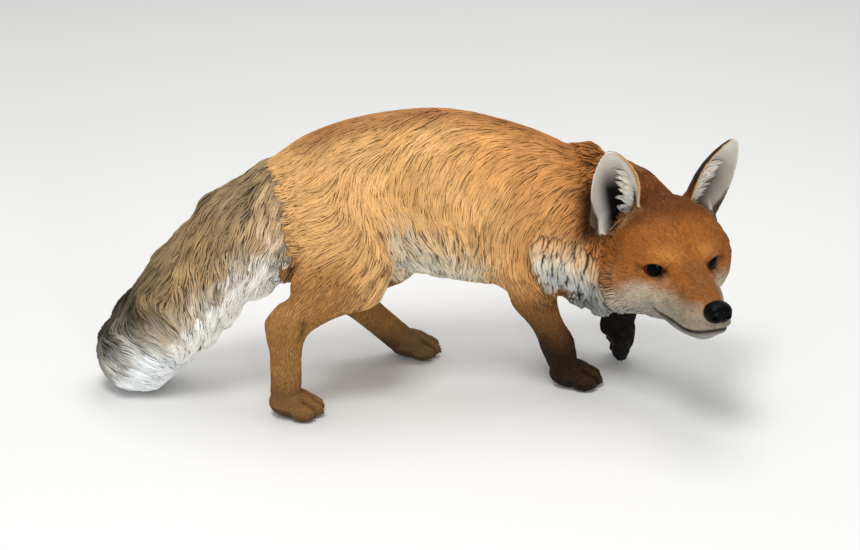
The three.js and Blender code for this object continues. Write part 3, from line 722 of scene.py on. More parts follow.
def ear_paint(points, normals):
    """Cream down the cup's outer part, painted shade in the hollow beside its inner rim, and a
    brown-black back.
    """
    local = in_head(points)
    colour = np.empty((len(points), 3))
    for s in (-1, 1):
        mine = local[:, 1] * s > 0
        placed = in_ear(local[mine], s)
        cup = normals[mine] @ HEAD[:3, :3] @ np.array(ear_turn(s))[:, 0]
        rise = placed[:, 2] / EAR["height"]
        out = placed[:, 1] * s / np.interp(rise, EAR_RISE, EAR_HALF)  # from -1 inside to 1 outside
        low, high, cup_shade_colour = EAR_CUP_SHADE[s]
        cup_shade = (1 - smooth_step(out, low, high)) * (1 - smooth_step(rise, 0.3, 0.95))
        inside = mixed(plain("d6d0c5", placed), cup_shade_colour, cup_shade * smooth_step(out, -0.6, -0.35))
        # More painted shade low beside the inner rim, under the tufts.
        inside = mixed(inside, "3a2a20", band(out, -0.74, 0.1) * (1 - smooth_step(rise, 0.25, 0.5)))
        inside = mixed(inside, "c49a66", smooth_step(-out, 0.84, 0.95))
        inside = mixed(inside, "5a4a3c", smooth_step(out, 0.91, 0.99))
        back = mixed(plain("6a3d1c", placed), "1d130d", smooth_step(rise, 0.15, 0.5))
        colour[mine] = mixed(back, inside, smooth_step(cup, 0.12, 0.38))
    return colour


LEG_PAINT = {  # upper and lower colour, and the heights, mm, where one turns to the other
    "hind_right": ("a1743e", "7f5a33", 70, 25),
    # hind_left and fore_left, on the far side, carry painted shade and are darker than their twins;
    # the far foreleg's near-black runs its whole length.
    "hind_left": ("966a38", "6c5232", 60, 18),
    "fore_right": ("85592a", "281705", 112, 46),
    "fore_left": ("2c1c10", "110b07", 100, 50),
}


def leg_paint(points, normals, limb):
    """Leg and paw, with a painted highlight on top of the toes and painted shade in the grooves
    and underneath.
    """
    upper, lower, high, low = LEG_PAINT[limb]
    z = points[:, 2] / MM + drift(points, 30, 1.5) * 6
    colour = mixed(plain(lower, points), upper, smooth_step(z, low, high))
    groove, out = toe_grooves(points, f"paw_{limb}")
    # Painted highlight on the toes' tops; painted shade in the grooves and underneath.
    top = smooth_step(normals[:, 2], 0.3, 0.9) * out * (points[:, 2] < 0.04)
    toe_highlight = 0.3 if "hind" in limb else 1.5
    under = smooth_step(-normals[:, 2], -0.2, 0.5) * (points[:, 2] < 0.03)
    toe_light_and_shade = 1 + toe_highlight * top - 0.65 * np.clip(groove, 0, 1)
    return colour * toe_light_and_shade[:, None] * (1 - 0.5 * under)[:, None]


def markings(points, normals, zones):
    """The painted colour at each point of the hide or the coat."""
    colour = trunk_paint(points, normals)
    painters = [(("tail",), tail_paint), (("head", "jaw"), head_paint), (("ear",), ear_paint)]
    for limb in LEG_PAINT:
        painters.append(((limb.replace("_", "_leg_"), f"paw_{limb}"), leg_paint, limb))
    for words, painter, *which in painters:
        there = among(zones, *words)
        if there.any():
            colour[there] = painter(points[there], normals[there], *which)
    return colour


def give_paint(mesh, colours):
    """Keeps a colour for each point of a mesh under the name that its paint reads."""
    layer = mesh.color_attributes.new(name="paint", type="FLOAT_COLOR", domain="POINT")
    rgba = np.ones((len(colours), 4), np.float32)
    rgba[:, :3] = colours
    layer.data.foreach_set("color", rgba.ravel())


def add_node(material, kind, sockets=None):
    """A new node in a material, with constants on some of its sockets."""
    node = material.node_tree.nodes.new(kind)
    for socket, value in (sockets or {}).items():
        node.inputs[socket].default_value = value
    return node


def mix_node(material, blend, sockets):
    """A node that mixes two colours, at its sockets 6 and 7."""
    node = add_node(material, "ShaderNodeMix", sockets)
    node.data_type = "RGBA"
    node.blend_type = blend
    return node


def painted_coat(material, shader, roughness, mottle, bump, bump_size):
    """Painted resin: the markings, mottled with thin washes, over a fine carved grain."""
    link = material.node_tree.links.new
    place = add_node(material, "ShaderNodeTexCoord")
    painting = add_node(material, "ShaderNodeAttribute")
    painting.attribute_name = "paint"
    wash = add_node(material, "ShaderNodeTexNoise", {"Scale": 90, "Detail": 3})
    shade = add_node(material, "ShaderNodeMapRange", {"To Min": 1 - mottle, "To Max": 1 + mottle})
    tinted = mix_node(material, "MULTIPLY", {"Factor": 1})
    grain = add_node(material, "ShaderNodeTexNoise", {"Scale": bump_size, "Detail": 2})
    relief = add_node(material, "ShaderNodeBump", {"Strength": bump, "Distance": 0.0006})
    link(place.outputs["Object"], wash.inputs["Vector"])
    link(place.outputs["Object"], grain.inputs["Vector"])
    link(wash.outputs["Fac"], shade.inputs["Value"])
    link(painting.outputs["Color"], tinted.inputs[6])
    link(shade.outputs["Result"], tinted.inputs[7])
    link(tinted.outputs[2], shader.inputs["Base Color"])
    link(grain.outputs["Fac"], relief.inputs["Height"])
    link(relief.outputs["Normal"], shader.inputs["Normal"])
    shader.inputs["Roughness"].default_value = roughness
    shader.inputs["Specular IOR Level"].default_value = 0.15


def clouded(material, shader, darker, lighter, scale):
    """Lets a plain paint drift between a darker and a lighter tone."""
    link = material.node_tree.links.new
    place = add_node(material, "ShaderNodeTexCoord")
    cloud = add_node(material, "ShaderNodeTexNoise", {"Scale": scale})
    tones = mix_node(material, "MIX", {6: darker, 7: lighter})
    link(place.outputs["Object"], cloud.inputs["Vector"])
    link(cloud.outputs["Fac"], tones.inputs["Factor"])
    link(tones.outputs[2], shader.inputs["Base Color"])
    return place


ARM, THIGH = 45, -72  # where each starts along the trunk, mm
# How dark the hide shows between the strands: partly a dark wash, partly painted shade.
UNDERCOAT_WASH_AND_SHADE = {"torso": 0.5, "neck": 0.45, "tail": 0.4, "head": 0.85, "jaw": 0.85,
                    "hind_leg": 0.88, "fore_leg": 0.85, "paw": 0.9}
hide_zone = nodes_at(hide_points)
wash_and_shade = by_solid(hide_zone, UNDERCOAT_WASH_AND_SHADE)
x, _, z = in_trunk(hide_points)
on_body = among(hide_zone, "torso", "neck")
wash_and_shade[on_body & (z < 175) & (x < THIGH)] = 0.74
wash_and_shade[on_body & (z < 165) & (x > ARM) & (x < 105)] = 0.7
wash_and_shade[on_body & (z < 188) & (x > 108)] = 0.3  # painted shade under the ruff
give_paint(hide.data, markings(hide_points, hide_normals, hide_zone) * wash_and_shade[:, None])
painted_coat(hide_paint, hide_shader, roughness=0.6, mottle=0.12, bump=0.6, bump_size=420)
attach(hide, "root")
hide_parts(*FLESH)

# ---- Eyes ---------------------------------------------------------------------------------------
# Clear cast eyes set behind the lids: a round black pupil in a red-brown iris with a dark rim, all
# under a wet gloss. Only the front of each ball shows between the painted lids.

IRIS_COLOUR = (0.16, 0.022, 0.006, 1)
PUPIL_COLOUR = (0.0005, 0.0005, 0.0005, 1)
RIM_COLOUR = (0.01, 0.004, 0.003, 1)
IRIS_RINGS = (  # from the middle of the pupil, at 0, out to a quarter turn of the ball, at 1
    (0.0, PUPIL_COLOUR), (0.37, PUPIL_COLOUR), (0.41, IRIS_COLOUR), (0.56, IRIS_COLOUR),
    (0.63, RIM_COLOUR),
)

eye_paint, eye_shader = shader_of("eye_paint")
link = eye_paint.node_tree.links.new
off_gaze = add_node(eye_paint, "ShaderNodeAttribute")
off_gaze.attribute_name = "off_gaze"
rings = add_node(eye_paint, "ShaderNodeValToRGB")
for at, colour in IRIS_RINGS:
    stop = rings.color_ramp.elements[0] if at == 0 else rings.color_ramp.elements.new(at)
    stop.color = colour
rings.color_ramp.elements[-1].color = RIM_COLOUR
place = add_node(eye_paint, "ShaderNodeTexCoord")
fleck = add_node(eye_paint, "ShaderNodeTexNoise", {"Scale": 900})
flecked = mix_node(eye_paint, "MULTIPLY", {"Factor": 0.6})
link(off_gaze.outputs["Fac"], rings.inputs["Fac"])
link(place.outputs["Object"], fleck.inputs["Vector"])
link(rings.outputs["Color"], flecked.inputs[6])
link(fleck.outputs["Fac"], flecked.inputs[7])
link(flecked.outputs[2], eye_shader.inputs["Base Color"])
eye_shader.inputs["Roughness"].default_value = 0.03
eye_shader.inputs["Specular IOR Level"].default_value = 0.045

for name, side in SIDES:
    ball = bmesh.new()
    bmesh.ops.create_uvsphere(ball, u_segments=48, v_segments=40, radius=EYE_RADIUS * MM)
    gaze = Vector((math.cos(PUPIL_TURN), side * math.sin(PUPIL_TURN), PUPIL_DROP)).normalized()
    turn = gaze.to_track_quat("Z", "Y").to_matrix().to_4x4()
    middle = Vector((-EYE_BACK / MM, side * EYE_SIDE, 0)) * MM
    layer = ball.verts.layers.float.new("off_gaze")
    for vert in ball.verts:
        vert[layer] = vert.co.angle(Vector((0, 0, 1)), 0) / (math.pi / 2)
    socket = Matrix(HEAD) @ Matrix.Translation(middle) @ turn
    bmesh.ops.transform(ball, matrix=socket, verts=ball.verts)
    eyeball = object_of(f"eyeball_{name}", ball, eye_paint)
    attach(eyeball, "root")
    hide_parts(f"eye_{name}")

# ---- Nose ---------------------------------------------------------------------------------------
# The bare nose pad, cast with the head and painted gloss black: a rounded block with two comma
# nostrils, a groove down its middle and a fine leather grain.

nose_form = bmesh.new()
bmesh.ops.create_uvsphere(nose_form, u_segments=72, v_segments=48, radius=1)
for vert in nose_form.verts:
    a, b, c = vert.co
    b *= 1 + 0.06 * c - 0.10 * max(-c, 0)
    square = (abs(a) ** 2.6 + abs(b) ** 2.6 + abs(c) ** 2.6) ** (-1 / 2.6)
    a, b, c = a * square, b * square, c * square
    for side in (-1, 1):
        hole_b = (b - side * (0.50 + 0.1 * max(-c, 0))) / 0.17
        hole = math.hypot(hole_b, (c + 0.22 - 0.35 * (abs(b) - 0.5)) / 0.24)
        slit = math.hypot((b - side * 0.74) / 0.26, (c + 0.46 + 0.2 * abs(b)) / 0.09)
        if a > 0:
            a -= 0.42 * math.exp(-hole ** 3) + 0.22 * math.exp(-slit ** 2)
            a += 0.05 * math.exp(-(((hole - 1.5) / 0.5) ** 2))
    if a > 0:
        fade = 1 if c < 0.35 else math.exp(-(((c - 0.35) / 0.3) ** 2))
        a -= 0.14 * math.exp(-((b / 0.055) ** 2)) * fade
    vert.co = Matrix(HEAD) @ (Vector((
        NOSE_AT[0] + a * NOSE_HALF[0], NOSE_AT[1] + b * NOSE_HALF[1], NOSE_AT[2] + c * NOSE_HALF[2],
    )) * MM)
nose_paint, nose_shader = shader_of("nose_paint")
place = clouded(nose_paint, nose_shader, (0.0008, 0.0008, 0.0009, 1), (0.002, 0.002, 0.002, 1), 160)
pores = add_node(nose_paint, "ShaderNodeTexVoronoi", {"Scale": 900})
leather = add_node(nose_paint, "ShaderNodeBump", {"Strength": 0.35, "Distance": 0.0004})
link = nose_paint.node_tree.links.new
link(place.outputs["Object"], pores.inputs["Vector"])
link(pores.outputs["Distance"], leather.inputs["Height"])
link(leather.outputs["Normal"], nose_shader.inputs["Normal"])
nose_shader.inputs["Roughness"].default_value = 0.27
nose_shader.inputs["Specular IOR Level"].default_value = 0.06
nose_pad = object_of("nose_pad", nose_form, nose_paint)
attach(nose_pad, "root")
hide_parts("nose")

# ---- Coat ---------------------------------------------------------------------------------------
# The fur is carved resin: fine strands that run together into pointed locks, lock over lock along
# the lie of the coat. Each strand is a thin closed sliver sunk at its root into the hide.

COAT_SEED = 7
rng = np.random.default_rng(COAT_SEED)

TRUNK_LIE = np.array((  # along and up the trunk in mm, and degrees from backwards towards down
    (-140, 284, 43), (-112, 301, 40), (-66, 307, 15), (-17, 317, 25), (46, 308, 5), (-20, 301, 34),
    (11, 293, 34), (42, 285, 35), (-31, 278, 81), (-83, 290, 14), (-70, 264, 57), (-72, 251, 87),
    (-111, 270, 31), (-122, 257, 58), (-94, 253, 89), (-140, 254, 9), (-126, 241, -4),
    (-136, 230, 11), (-142, 208, 24), (-119, 219, 19), (-97, 204, 23), (-90, 239, 81),
    (-64, 237, 102), (-39, 244, 91), (-39, 224, 108), (-8, 243, 89), (-8, 223, 106), (14, 202, 109),
    (0, 265, 70), (24, 249, 68), (16, 216, 98), (40, 215, 88), (56, 247, 57), (75, 287, 17),
    (72, 229, 58), (78, 195, 76), (-39, 207, 114), (-23, 189, 120), (-61, 206, 107), (110, 226, 43),
    (91, 191, 75), (91, 163, 96), (100, 135, 111), (142, 272, 0), (119, 251, 24), (103, 279, 12),
    (89, 254, 35), (-135, 175, 36), (-115, 182, 34), (-100, 158, 54), (-131, 150, 57),
    (-84, 179, 50), (116, 183, 71), (135, 176, 77), (127, 153, 98), (147, 139, 98), (164, 130, 106),
    (166, 159, 83), (148, 206, 30), (167, 186, 48), (177, 117, 116), (178, 230, 20), (200, 262, 0),
    (225, 240, 0), (160, 245, 20), (-10, 170, 110), (30, 175, 95), (60, 170, 85),
), float)
BRUSH_LIE = np.array((
    (-151, 269, 57), (-168, 254, 62), (-159, 226, 68), (-174, 226, 70), (-184, 200, 71),
    (-160, 185, 69), (-205, 237, 57), (-222, 212, 67), (-243, 191, 72), (-213, 178, 78),
    (-276, 156, 93), (-262, 131, 98), (-241, 142, 87), (-306, 144, 44), (-293, 160, 45),
    (-340, 97, 46), (-318, 119, 122), (-306, 103, 133), (-292, 75, 129), (-270, 80, 95),
    (-310, 73, 154), (-331, 87, 166), (-347, 66, 180), (-335, 31, 154), (-357, 29, 162),
    (-359, 63, 97),
), float)
TRUNK_REACH, BRUSH_REACH = 17, 18  # how far round it each stroke tells, mm


def combed(points, normals, strokes, reach, wave):
    """The lie of the nearest strokes, turned from backwards to down in the plane of the surface."""
    x, _, z = in_trunk(points)
    apart = (x[:, None] - strokes[:, 0]) ** 2 + (z[:, None] - strokes[:, 1]) ** 2
    near = np.exp(-apart / reach ** 2) + 1e-9
    turn = np.radians(strokes[:, 2])
    angle = np.arctan2(near @ np.sin(turn), near @ np.cos(turn)) + wave
    back = normals * normals[:, :1] - (1, 0, 0)
    down = normals * normals[:, 2:] - (0, 0, 1)
    flat = np.minimum(np.linalg.norm(down, axis=1) / 0.25, 1)
    return unit(back) * np.cos(angle)[:, None] + unit(down) * (np.sin(angle) * flat)[:, None]


def trunk_lie(points, normals):
    """Back over the spine, then down the flank and throat, with a whorl above the haunch."""
    wave = 0.26 * drift(points, 21, 5.0) + 0.14 * drift(points, 55, 2.0)
    return combed(points, normals, TRUNK_LIE, TRUNK_REACH, wave)


def tail_lie(points, normals):
    """Wavy, slanting across the brush from its upper edge to its lower, and round the tip."""
    return combed(points, normals, BRUSH_LIE, BRUSH_REACH, 0.42 * drift(points, 24, 2.5))


def head_lie(points):
    """Away from the nose: up the brow, over the crown, back and down the cheeks."""
    local = in_head(points)
    a, b, c = local.T
    away = np.stack((
        -np.ones(len(a)),
        np.sign(b) * (0.25 + 0.55 * smooth_step(a, -60, 10) * smooth_step(np.abs(b), 6, 30)),
        np.interp(c, (-60, -20, 0, 30), (-0.95, -0.35, 0.25, 0.5)) * smooth_step(-a, -70, 20),
    ), axis=1)
    away[:, 1] *= smooth_step(np.abs(b), 0, 8)
    return away @ HEAD[:3, :3].T


def ear_lie(points):
    """From the inner rim of each ear slanting up across its cup."""
    local = in_head(points)
    way = np.empty((len(points), 3))
    for side in (-1, 1):
        slant = np.array(ear_turn(side)) @ (0.3, side * 0.8, EAR_TUFT_RISE[side])
        way[local[:, 1] * side >= 0] = slant
    return way @ HEAD[:3, :3].T


LEG_TOP = 150  # mm over the floor


def leg_lie(points):
    """Down the limb, a little backwards, and forwards over the toes."""
    z = points[:, 2] / MM
    wave = 0.15 * drift(points, 30, 3.5)
    forward = 1 - smooth_step(z, 14, 34)
    return np.stack((-0.3 + 1.25 * forward + wave, wave, -0.95 + 0.75 * forward), axis=1)


def lie(points, normals, zones):
    way = trunk_lie(points, normals)
    there = among(zones, "tail")
    if there.any():
        way[there] = tail_lie(points[there], normals[there])
    for words, lies in ((("head", "jaw"), head_lie), (("ear",), ear_lie)):
        there = among(zones, *words)
        if there.any():
            way[there] = lies(points[there])
    there = among(zones, "hind_leg", "fore_leg", "paw") & (points[:, 2] < LEG_TOP * MM)
    if there.any():
        way[there] = leg_lie(points[there])
    return way


def scatter(wanted, spacing):
    """Root places over the wanted faces of the hide, about a spacing (mm) apart, with solids."""
    share = patch_area * wanted
    count = int(share.sum() / (spacing * MM) ** 2 * 2.4) + 1
    face = rng.choice(len(share), count, p=share / share.sum())
    u, v = rng.random((2, count))
    flip = u + v > 1
    u[flip], v[flip] = 1 - u[flip], 1 - v[flip]
    a, b, c = (hide_points[corners[face, i]] for i in range(3))
    places = a + (b - a) * u[:, None] + (c - a) * v[:, None]
    cells = np.floor(places / (spacing * MM)).astype(np.int64)
    keys = (cells[:, 0] * 73856093) ^ (cells[:, 1] * 19349663) ^ (cells[:, 2] * 83492791)
    _, first = np.unique(keys, return_index=True)
    return places[first], patch_zone[face[first]]


def comb(roots, zones, lengths, steps, wander):
    """Paths along the hide from each root, following the lie: places and normals, step by step."""
    places, normals = settle(roots)
    path, lift = [places], [normals]
    sway = rng.normal(0, wander, len(roots))
    for _ in range(steps):
        way = lie(places, normals, zones)
        way -= normals * np.einsum("ij,ij->i", way, normals)[:, None]
        way = unit(way)
        way = unit(way + np.cross(normals, way) * sway[:, None])
        onward = places + way * (lengths / steps)[:, None]
        snapped, found = settle(onward)
        stray = np.linalg.norm(snapped - onward, axis=1) > lengths / steps * 0.9
        places = np.where(stray[:, None], onward, snapped)
        normals = unit(np.where(stray[:, None], normals, found * 0.7 + normals * 0.3))
        path.append(places)
        lift.append(normals)
    return np.stack(path, axis=1), np.stack(lift, axis=1)


def unroll(points, zones):
    """Where each root lies, from 0 to 1, when the hide is unrolled round its own solid."""
    spot = np.empty((len(points), 2))
    for index, name in enumerate(FLESH):
        there = zones == index
        if not there.any():
            continue
        low, high = (np.array(v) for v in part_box(name))
        offset = points[there] - (low + high) / 2
        upright = name.startswith(("hind", "fore", "paw", "ear"))
        long = 2 if upright else 0
        u_axis, v_axis = (0, 1) if upright else (1, 2)
        around = np.arctan2(offset[:, v_axis], offset[:, u_axis]) / (2 * math.pi) + 0.5
        length = (points[there][:, long] - low[long]) / (high[long] - low[long])
        spot[there, 0] = (index % 5 + around * 0.98) / 5
        spot[there, 1] = (index // 5 + np.clip(length, 0, 1) * 0.98) / 4
    return spot


HAIR_HEIGHT = 0.0004  # over the floor
TIP_COLOUR = 0.6  # how far a strand's point takes the colour of the place it reaches


def slivers(path, lift, wide, thick, rise, profile, tint, shade, edge, zones, spot, code):
    """One mesh of closed three-sided slivers along the paths, with paint and the OFBake map."""
    count, rings, _ = path.shape
    t = np.linspace(0, 1, rings)
    way = np.gradient(path, axis=1)
    across = np.cross(lift, way)
    across /= np.maximum(np.linalg.norm(across, axis=2), 1e-12)[:, :, None]
    body = path + lift * rise[:, :, None]
    half = wide[:, None] * np.interp(t, *zip(*profile))[None, :] / 2
    tall = thick[:, None] * np.interp(t, *zip(*profile))[None, :]
    ring = np.stack((
        body[:, :-1] - across[:, :-1] * half[:, :-1, None],
        body[:, :-1] + lift[:, :-1] * tall[:, :-1, None],
        body[:, :-1] + across[:, :-1] * half[:, :-1, None],
    ), axis=2).reshape(count, -1, 3)
    verts = np.concatenate((ring, body[:, -1:]), axis=1)
    per = verts.shape[1]
    verts[:, :, 2] = np.maximum(verts[:, :, 2], HAIR_HEIGHT)
    one = [(0, 2, 1)]
    for k in range(rings - 2):
        for i, j in ((0, 1), (1, 2), (2, 0)):
            a, b = 3 * k + i, 3 * k + j
            one += [(a, b, b + 3), (a, b + 3, a + 3)]
    last = 3 * (rings - 2)
    one += [(last, last + 1, per - 1), (last + 1, last + 2, per - 1), (last + 2, last, per - 1)]
    one = np.array(one)
    faces = (one[None] + np.arange(count)[:, None, None] * per).reshape(-1, 3)
    flat = verts.reshape(-1, 3)
    stations = np.append(np.repeat(t[:-1], 3), 1.0)
    edges = np.append(np.tile((-1.0, 0.0, 1.0), rings - 1), 0.0)
    base = markings(path[:, 0], lift[:, 0], zones)
    tip = markings(path[:, -1], lift[:, -1], zones)
    if code:
        base[:] = tip[:] = paint(code)
    colour = base[:, None] + (tip - base)[:, None] * stations[None, :, None] * TIP_COLOUR
    # Painted shade at each strand's root and along its sides, a painted highlight on its ridge and
    # point.
    depth = np.interp(stations, (0, 0.35, 1), (shade, 1.0, 1.08))
    depth = depth * np.where(np.abs(edges) > 0.5, edge, 1.06)
    pale = 0.5 * smooth_step(base.mean(axis=1), 0.5, 0.8)  # less painted shade and tint on pale paint
    tint = tint + (1 - tint) * pale
    depth = depth[None, :] + (1 - depth[None, :]) * pale[:, None]
    colour = colour * (tint[:, None] * depth)[:, :, None]
    patch = spot[:, None, :] + np.stack((edges * 0.0012, stations * 0.0026), axis=1)[None]
    return flat, faces, np.clip(colour.reshape(-1, 3), 0, 1), patch.reshape(-1, 2)


STRAND_PROFILE = ((0, 0.75), (0.35, 1.0), (0.7, 0.7), (1, 0.0))
LOCK_PROFILE = ((0, 0.6), (0.4, 1.0), (0.8, 0.9), (1, 0.0))
coat_paint, coat_shader = shader_of("coat_paint")
painted_coat(coat_paint, coat_shader, roughness=0.55, mottle=0.10, bump=0.35, bump_size=700)


def tree_of(places):
    """A tree that finds the nearest of some places."""
    tree = KDTree(len(places))
    for i, place in enumerate(places):
        tree.insert(place, i)
    tree.balance()
    return tree


def grow(name, slot, wanted, length, spacing, wide, thick, lock, gather, crown, parting_shade, lift, shade,
         edge, rings=5, wander=0.12, tint=0.12, dark=(0.0, 0.6), code=None, profile=STRAND_PROFILE):
    """Grows one piece of coat: strands that gather into locks.

    Sizes are in mm, and length may be a function. Each lock is crowned in its middle and parted
    from the next, with painted shade towards the parting, and its strands lift from their roots to
    their points. They carry painted shade at the root and along the edge, vary by a tint, and a
    share of them is dark.
    """
    roots, zones = scatter(wanted, spacing)
    guides, guide_zones = scatter(wanted, lock)
    long = length(roots) if callable(length) else np.full(len(roots), float(length))
    guide_long = length(guides) if callable(length) else np.full(len(guides), float(length))
    guide_long = guide_long * rng.uniform(0.85, 1.15, len(guides))
    guide_path, _ = comb(guides, guide_zones, guide_long * MM, rings - 1, wander)
    guide_tree = tree_of(guides)
    found = [guide_tree.find(p) for p in roots.tolist()]
    mine = np.array([f[1] for f in found])
    away = np.clip(np.array([f[2] for f in found]) / (lock * MM * 0.75), 0, 1)
    long = long * rng.uniform(0.8, 1.1, len(roots)) * (1 - 0.25 * away ** 2)
    path, normals = comb(roots, zones, long * MM, rings - 1, wander * 0.6)
    t = np.linspace(0, 1, rings)
    pull = gather * t ** 1.5
    path += (guide_path[mine] - path) * pull[None, :, None]
    proud = rng.uniform(0.6, 1.25, len(roots))
    arch = np.sin(np.pi * np.clip(t + 0.15, 0, 1))
    rise = (np.interp(t, (0, 0.25, 1), (-0.5, lift[0], lift[1]))[None, :] * proud[:, None]
            + crown * (1 - away ** 2)[:, None] * arch[None, :]) * MM
    lock_tint = 1 + tint * rng.uniform(-1, 1, len(guides))
    strand_tint = lock_tint[mine] * (1 + tint * 0.6 * rng.uniform(-1, 1, len(roots)))
    # painted shade towards the partings between locks
    strand_tint *= 1.05 - parting_shade * away ** 2
    strand_tint *= np.where(rng.random(len(roots)) < dark[0], dark[1], 1.0)
    fine = long / long.max()  # short hair is thinner and lies closer
    rise *= fine[:, None] ** 0.6
    size = rng.uniform(0.8, 1.2, len(roots))
    flat, faces, colours, patch = slivers(
        path, normals, wide * MM * size * fine ** 0.3, thick * MM * size * fine ** 0.8, rise,
        profile, strand_tint, shade, edge, zones, unroll(roots, zones), code,
    )
    mesh = bpy.data.meshes.new(name)
    mesh.vertices.add(len(flat))
    mesh.vertices.foreach_set("co", flat.astype(np.float32).ravel())
    mesh.loops.add(faces.size)
    mesh.loops.foreach_set("vertex_index", faces.astype(np.int32).ravel())
    mesh.polygons.add(len(faces))
    mesh.polygons.foreach_set("loop_start", np.arange(0, faces.size, 3, dtype=np.int32))
    mesh.update(calc_edges=True)
    layer = mesh.uv_layers.new(name="OFBake")
    layer.data.foreach_set("uv", patch[faces.ravel()].astype(np.float32).ravel())
    give_paint(mesh, colours)
    made = object_of(name, mesh, coat_paint)
    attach(made, "root")


trunk_x, trunk_y, trunk_z = in_trunk(patch_middle)
patch_normal = unit(hide_normals[corners].sum(axis=1))
on_limb = among(patch_zone, "hind_leg", "fore_leg")
on_trunk = among(patch_zone, "torso") | (on_limb & (trunk_z > LEG_TOP))
on_neck = among(patch_zone, "neck")
on_tail = among(patch_zone, "tail")
on_head = among(patch_zone, "head", "jaw")
on_leg = on_limb & ~on_trunk
on_paw = among(patch_zone, "paw")
head_a, head_b, head_c = in_head(patch_middle).T
NOSE_BARE = (14.5, 16.5, 13)  # half sizes of the hairless ring round the pad, mm
bare_face = np.zeros(len(patch_middle), bool)
for side in (-1, 1):
    _, reach, across, raised = eye_polar(in_head(patch_middle), side)
    near = (reach < EYE_RADIUS + 5) & (head_b * side > 4)
    bare_face |= near & ((past_lid(across, raised) < 2.2) | (tear_line(across, raised) < 1.6))
bare_face |= np.linalg.norm((in_head(patch_middle) - NOSE_AT) / NOSE_BARE, axis=1) < 1
lips_off = head_c - np.interp(head_a, MOUTH_AHEAD, MOUTH_HEIGHT)
bare_face |= (np.abs(lips_off + 0.3) < 1.6) & (head_a > MOUTH_AHEAD[0])

# ---- Coat of the back and flanks ----------------------------------------------------------------
# Fine flowing hair laid close over the back and flank, heavier and parted into pale pointed locks
# where it hangs from the belly, and ragged tufts with painted shade at their roots where the haunch
# meets the brush.

def body_length(points):
    """Shorter over the upper arm and the thigh, and shortest where they meet the leg."""
    x, _, z = in_trunk(points)
    arm = smooth_step(172 - z, 0, 30) * (x > ARM)
    thigh = smooth_step(185 - z, 0, 30) * (x < THIGH)
    low = smooth_step(140 - z, 0, 32) * ((x < THIGH) | (x > ARM))
    return 29 - 16 * np.maximum(arm, thigh) - 5 * low


BELLY_ENDS, BELLY_TOP = (-74, 60), 214  # along and up, mm
THROAT_TOP = ((92, 105, 135, 160, 172, 200), (186, 198, 192, 178, 168, 160))
NAPE_AHEAD, NAPE_UP = 168, 240
NECK_AHEAD = 118
HAUNCH_AHEAD = -40
BACK_UP = 268

belly = on_trunk & ~on_limb & (trunk_z < BELLY_TOP)
belly &= (trunk_x > BELLY_ENDS[0]) & (trunk_x < BELLY_ENDS[1])
crevice = trunk_x - np.interp(trunk_z, *RUFF_EDGE)
throat = (on_trunk | on_neck) & (trunk_z > 96) & (crevice > 4 * (trunk_z > 178))
throat &= trunk_z < np.interp(trunk_x, *THROAT_TOP)
throat &= (trunk_x > 148) | (trunk_z > 132)
nape = (on_trunk | on_neck) & (trunk_x > NAPE_AHEAD) & (trunk_z > NAPE_UP) & ~throat
side_neck = (on_trunk | on_neck) & (trunk_x > NECK_AHEAD) & ~throat & ~nape
body = on_trunk & ~belly & ~throat & ~nape & ~side_neck
body_hair = dict(
    length=body_length, spacing=2.55, wide=1.8, thick=1.15, lock=8, gather=0.3, crown=0.4,
    parting_shade=0.15, lift=(0.2, 1.1), shade=0.6, edge=0.78, wander=0.09, dark=(0.03, 0.7),
)
grow("coat_back", "coat_tan", body & (trunk_z > BACK_UP), **body_hair)
for name, side in SIDES:
    flank = body & (trunk_z <= BACK_UP) & (trunk_y * side > 0)
    grow(f"coat_flank_{name}", "coat_tan", flank & (trunk_x > HAUNCH_AHEAD), **body_hair)
    grow(f"coat_haunch_{name}", "coat_tan", flank & (trunk_x <= HAUNCH_AHEAD), **body_hair)
grow("coat_belly", "coat_pale", belly, length=30, spacing=3.1, wide=2.9, thick=1.5, lock=9,
     gather=0.6, crown=1.2, parting_shade=0.4, lift=(0.3, 1.8), shade=0.4, edge=0.7, wander=0.1, tint=0.16,
     dark=(0.12, 0.55))
tufts = body & (trunk_x < -143) & (trunk_z < 262)
tufts &= (trunk_z > 178) | (trunk_y > -44) & (trunk_z > 145)
grow("coat_tufts", "coat_tan", tufts, length=15, spacing=2.8, wide=2.6, thick=1.3, lock=8,
     gather=0.75, crown=1.4, parting_shade=0.3, lift=(0.6, 3.2), shade=0.6, edge=0.78, wander=0.2,
     dark=(0.06, 0.6))

# ---- Coat of the neck and ruff ------------------------------------------------------------------
# Rough curls over the nape, loose waves behind the cheek, and the ruff: thick overlapping pointed
# locks with deep partings darkened by painted shade, cream at the roots and grey-white below,
# partly with painted shade.

def ruff_length(points):
    """Shorter where the ruff lies over the top of the foreleg."""
    x, _, z = in_trunk(points)
    return 20 - 13 * smooth_step(146 - z, 0, 18) * smooth_step(158 - x, 0, 10)


ear_tree = tree_of(patch_middle[among(patch_zone, "ear")][::8])


def neck_length(points):
    """Shorter towards the backs of the ears, which it would run through, and over the foreleg."""
    off_ear = np.array([ear_tree.find(p)[2] for p in points.tolist()]) / MM
    over_leg = np.interp(points[:, 2] / MM, (120, 165), (6, 25))
    return np.minimum(np.clip(off_ear - 2, 6, 25), over_leg)


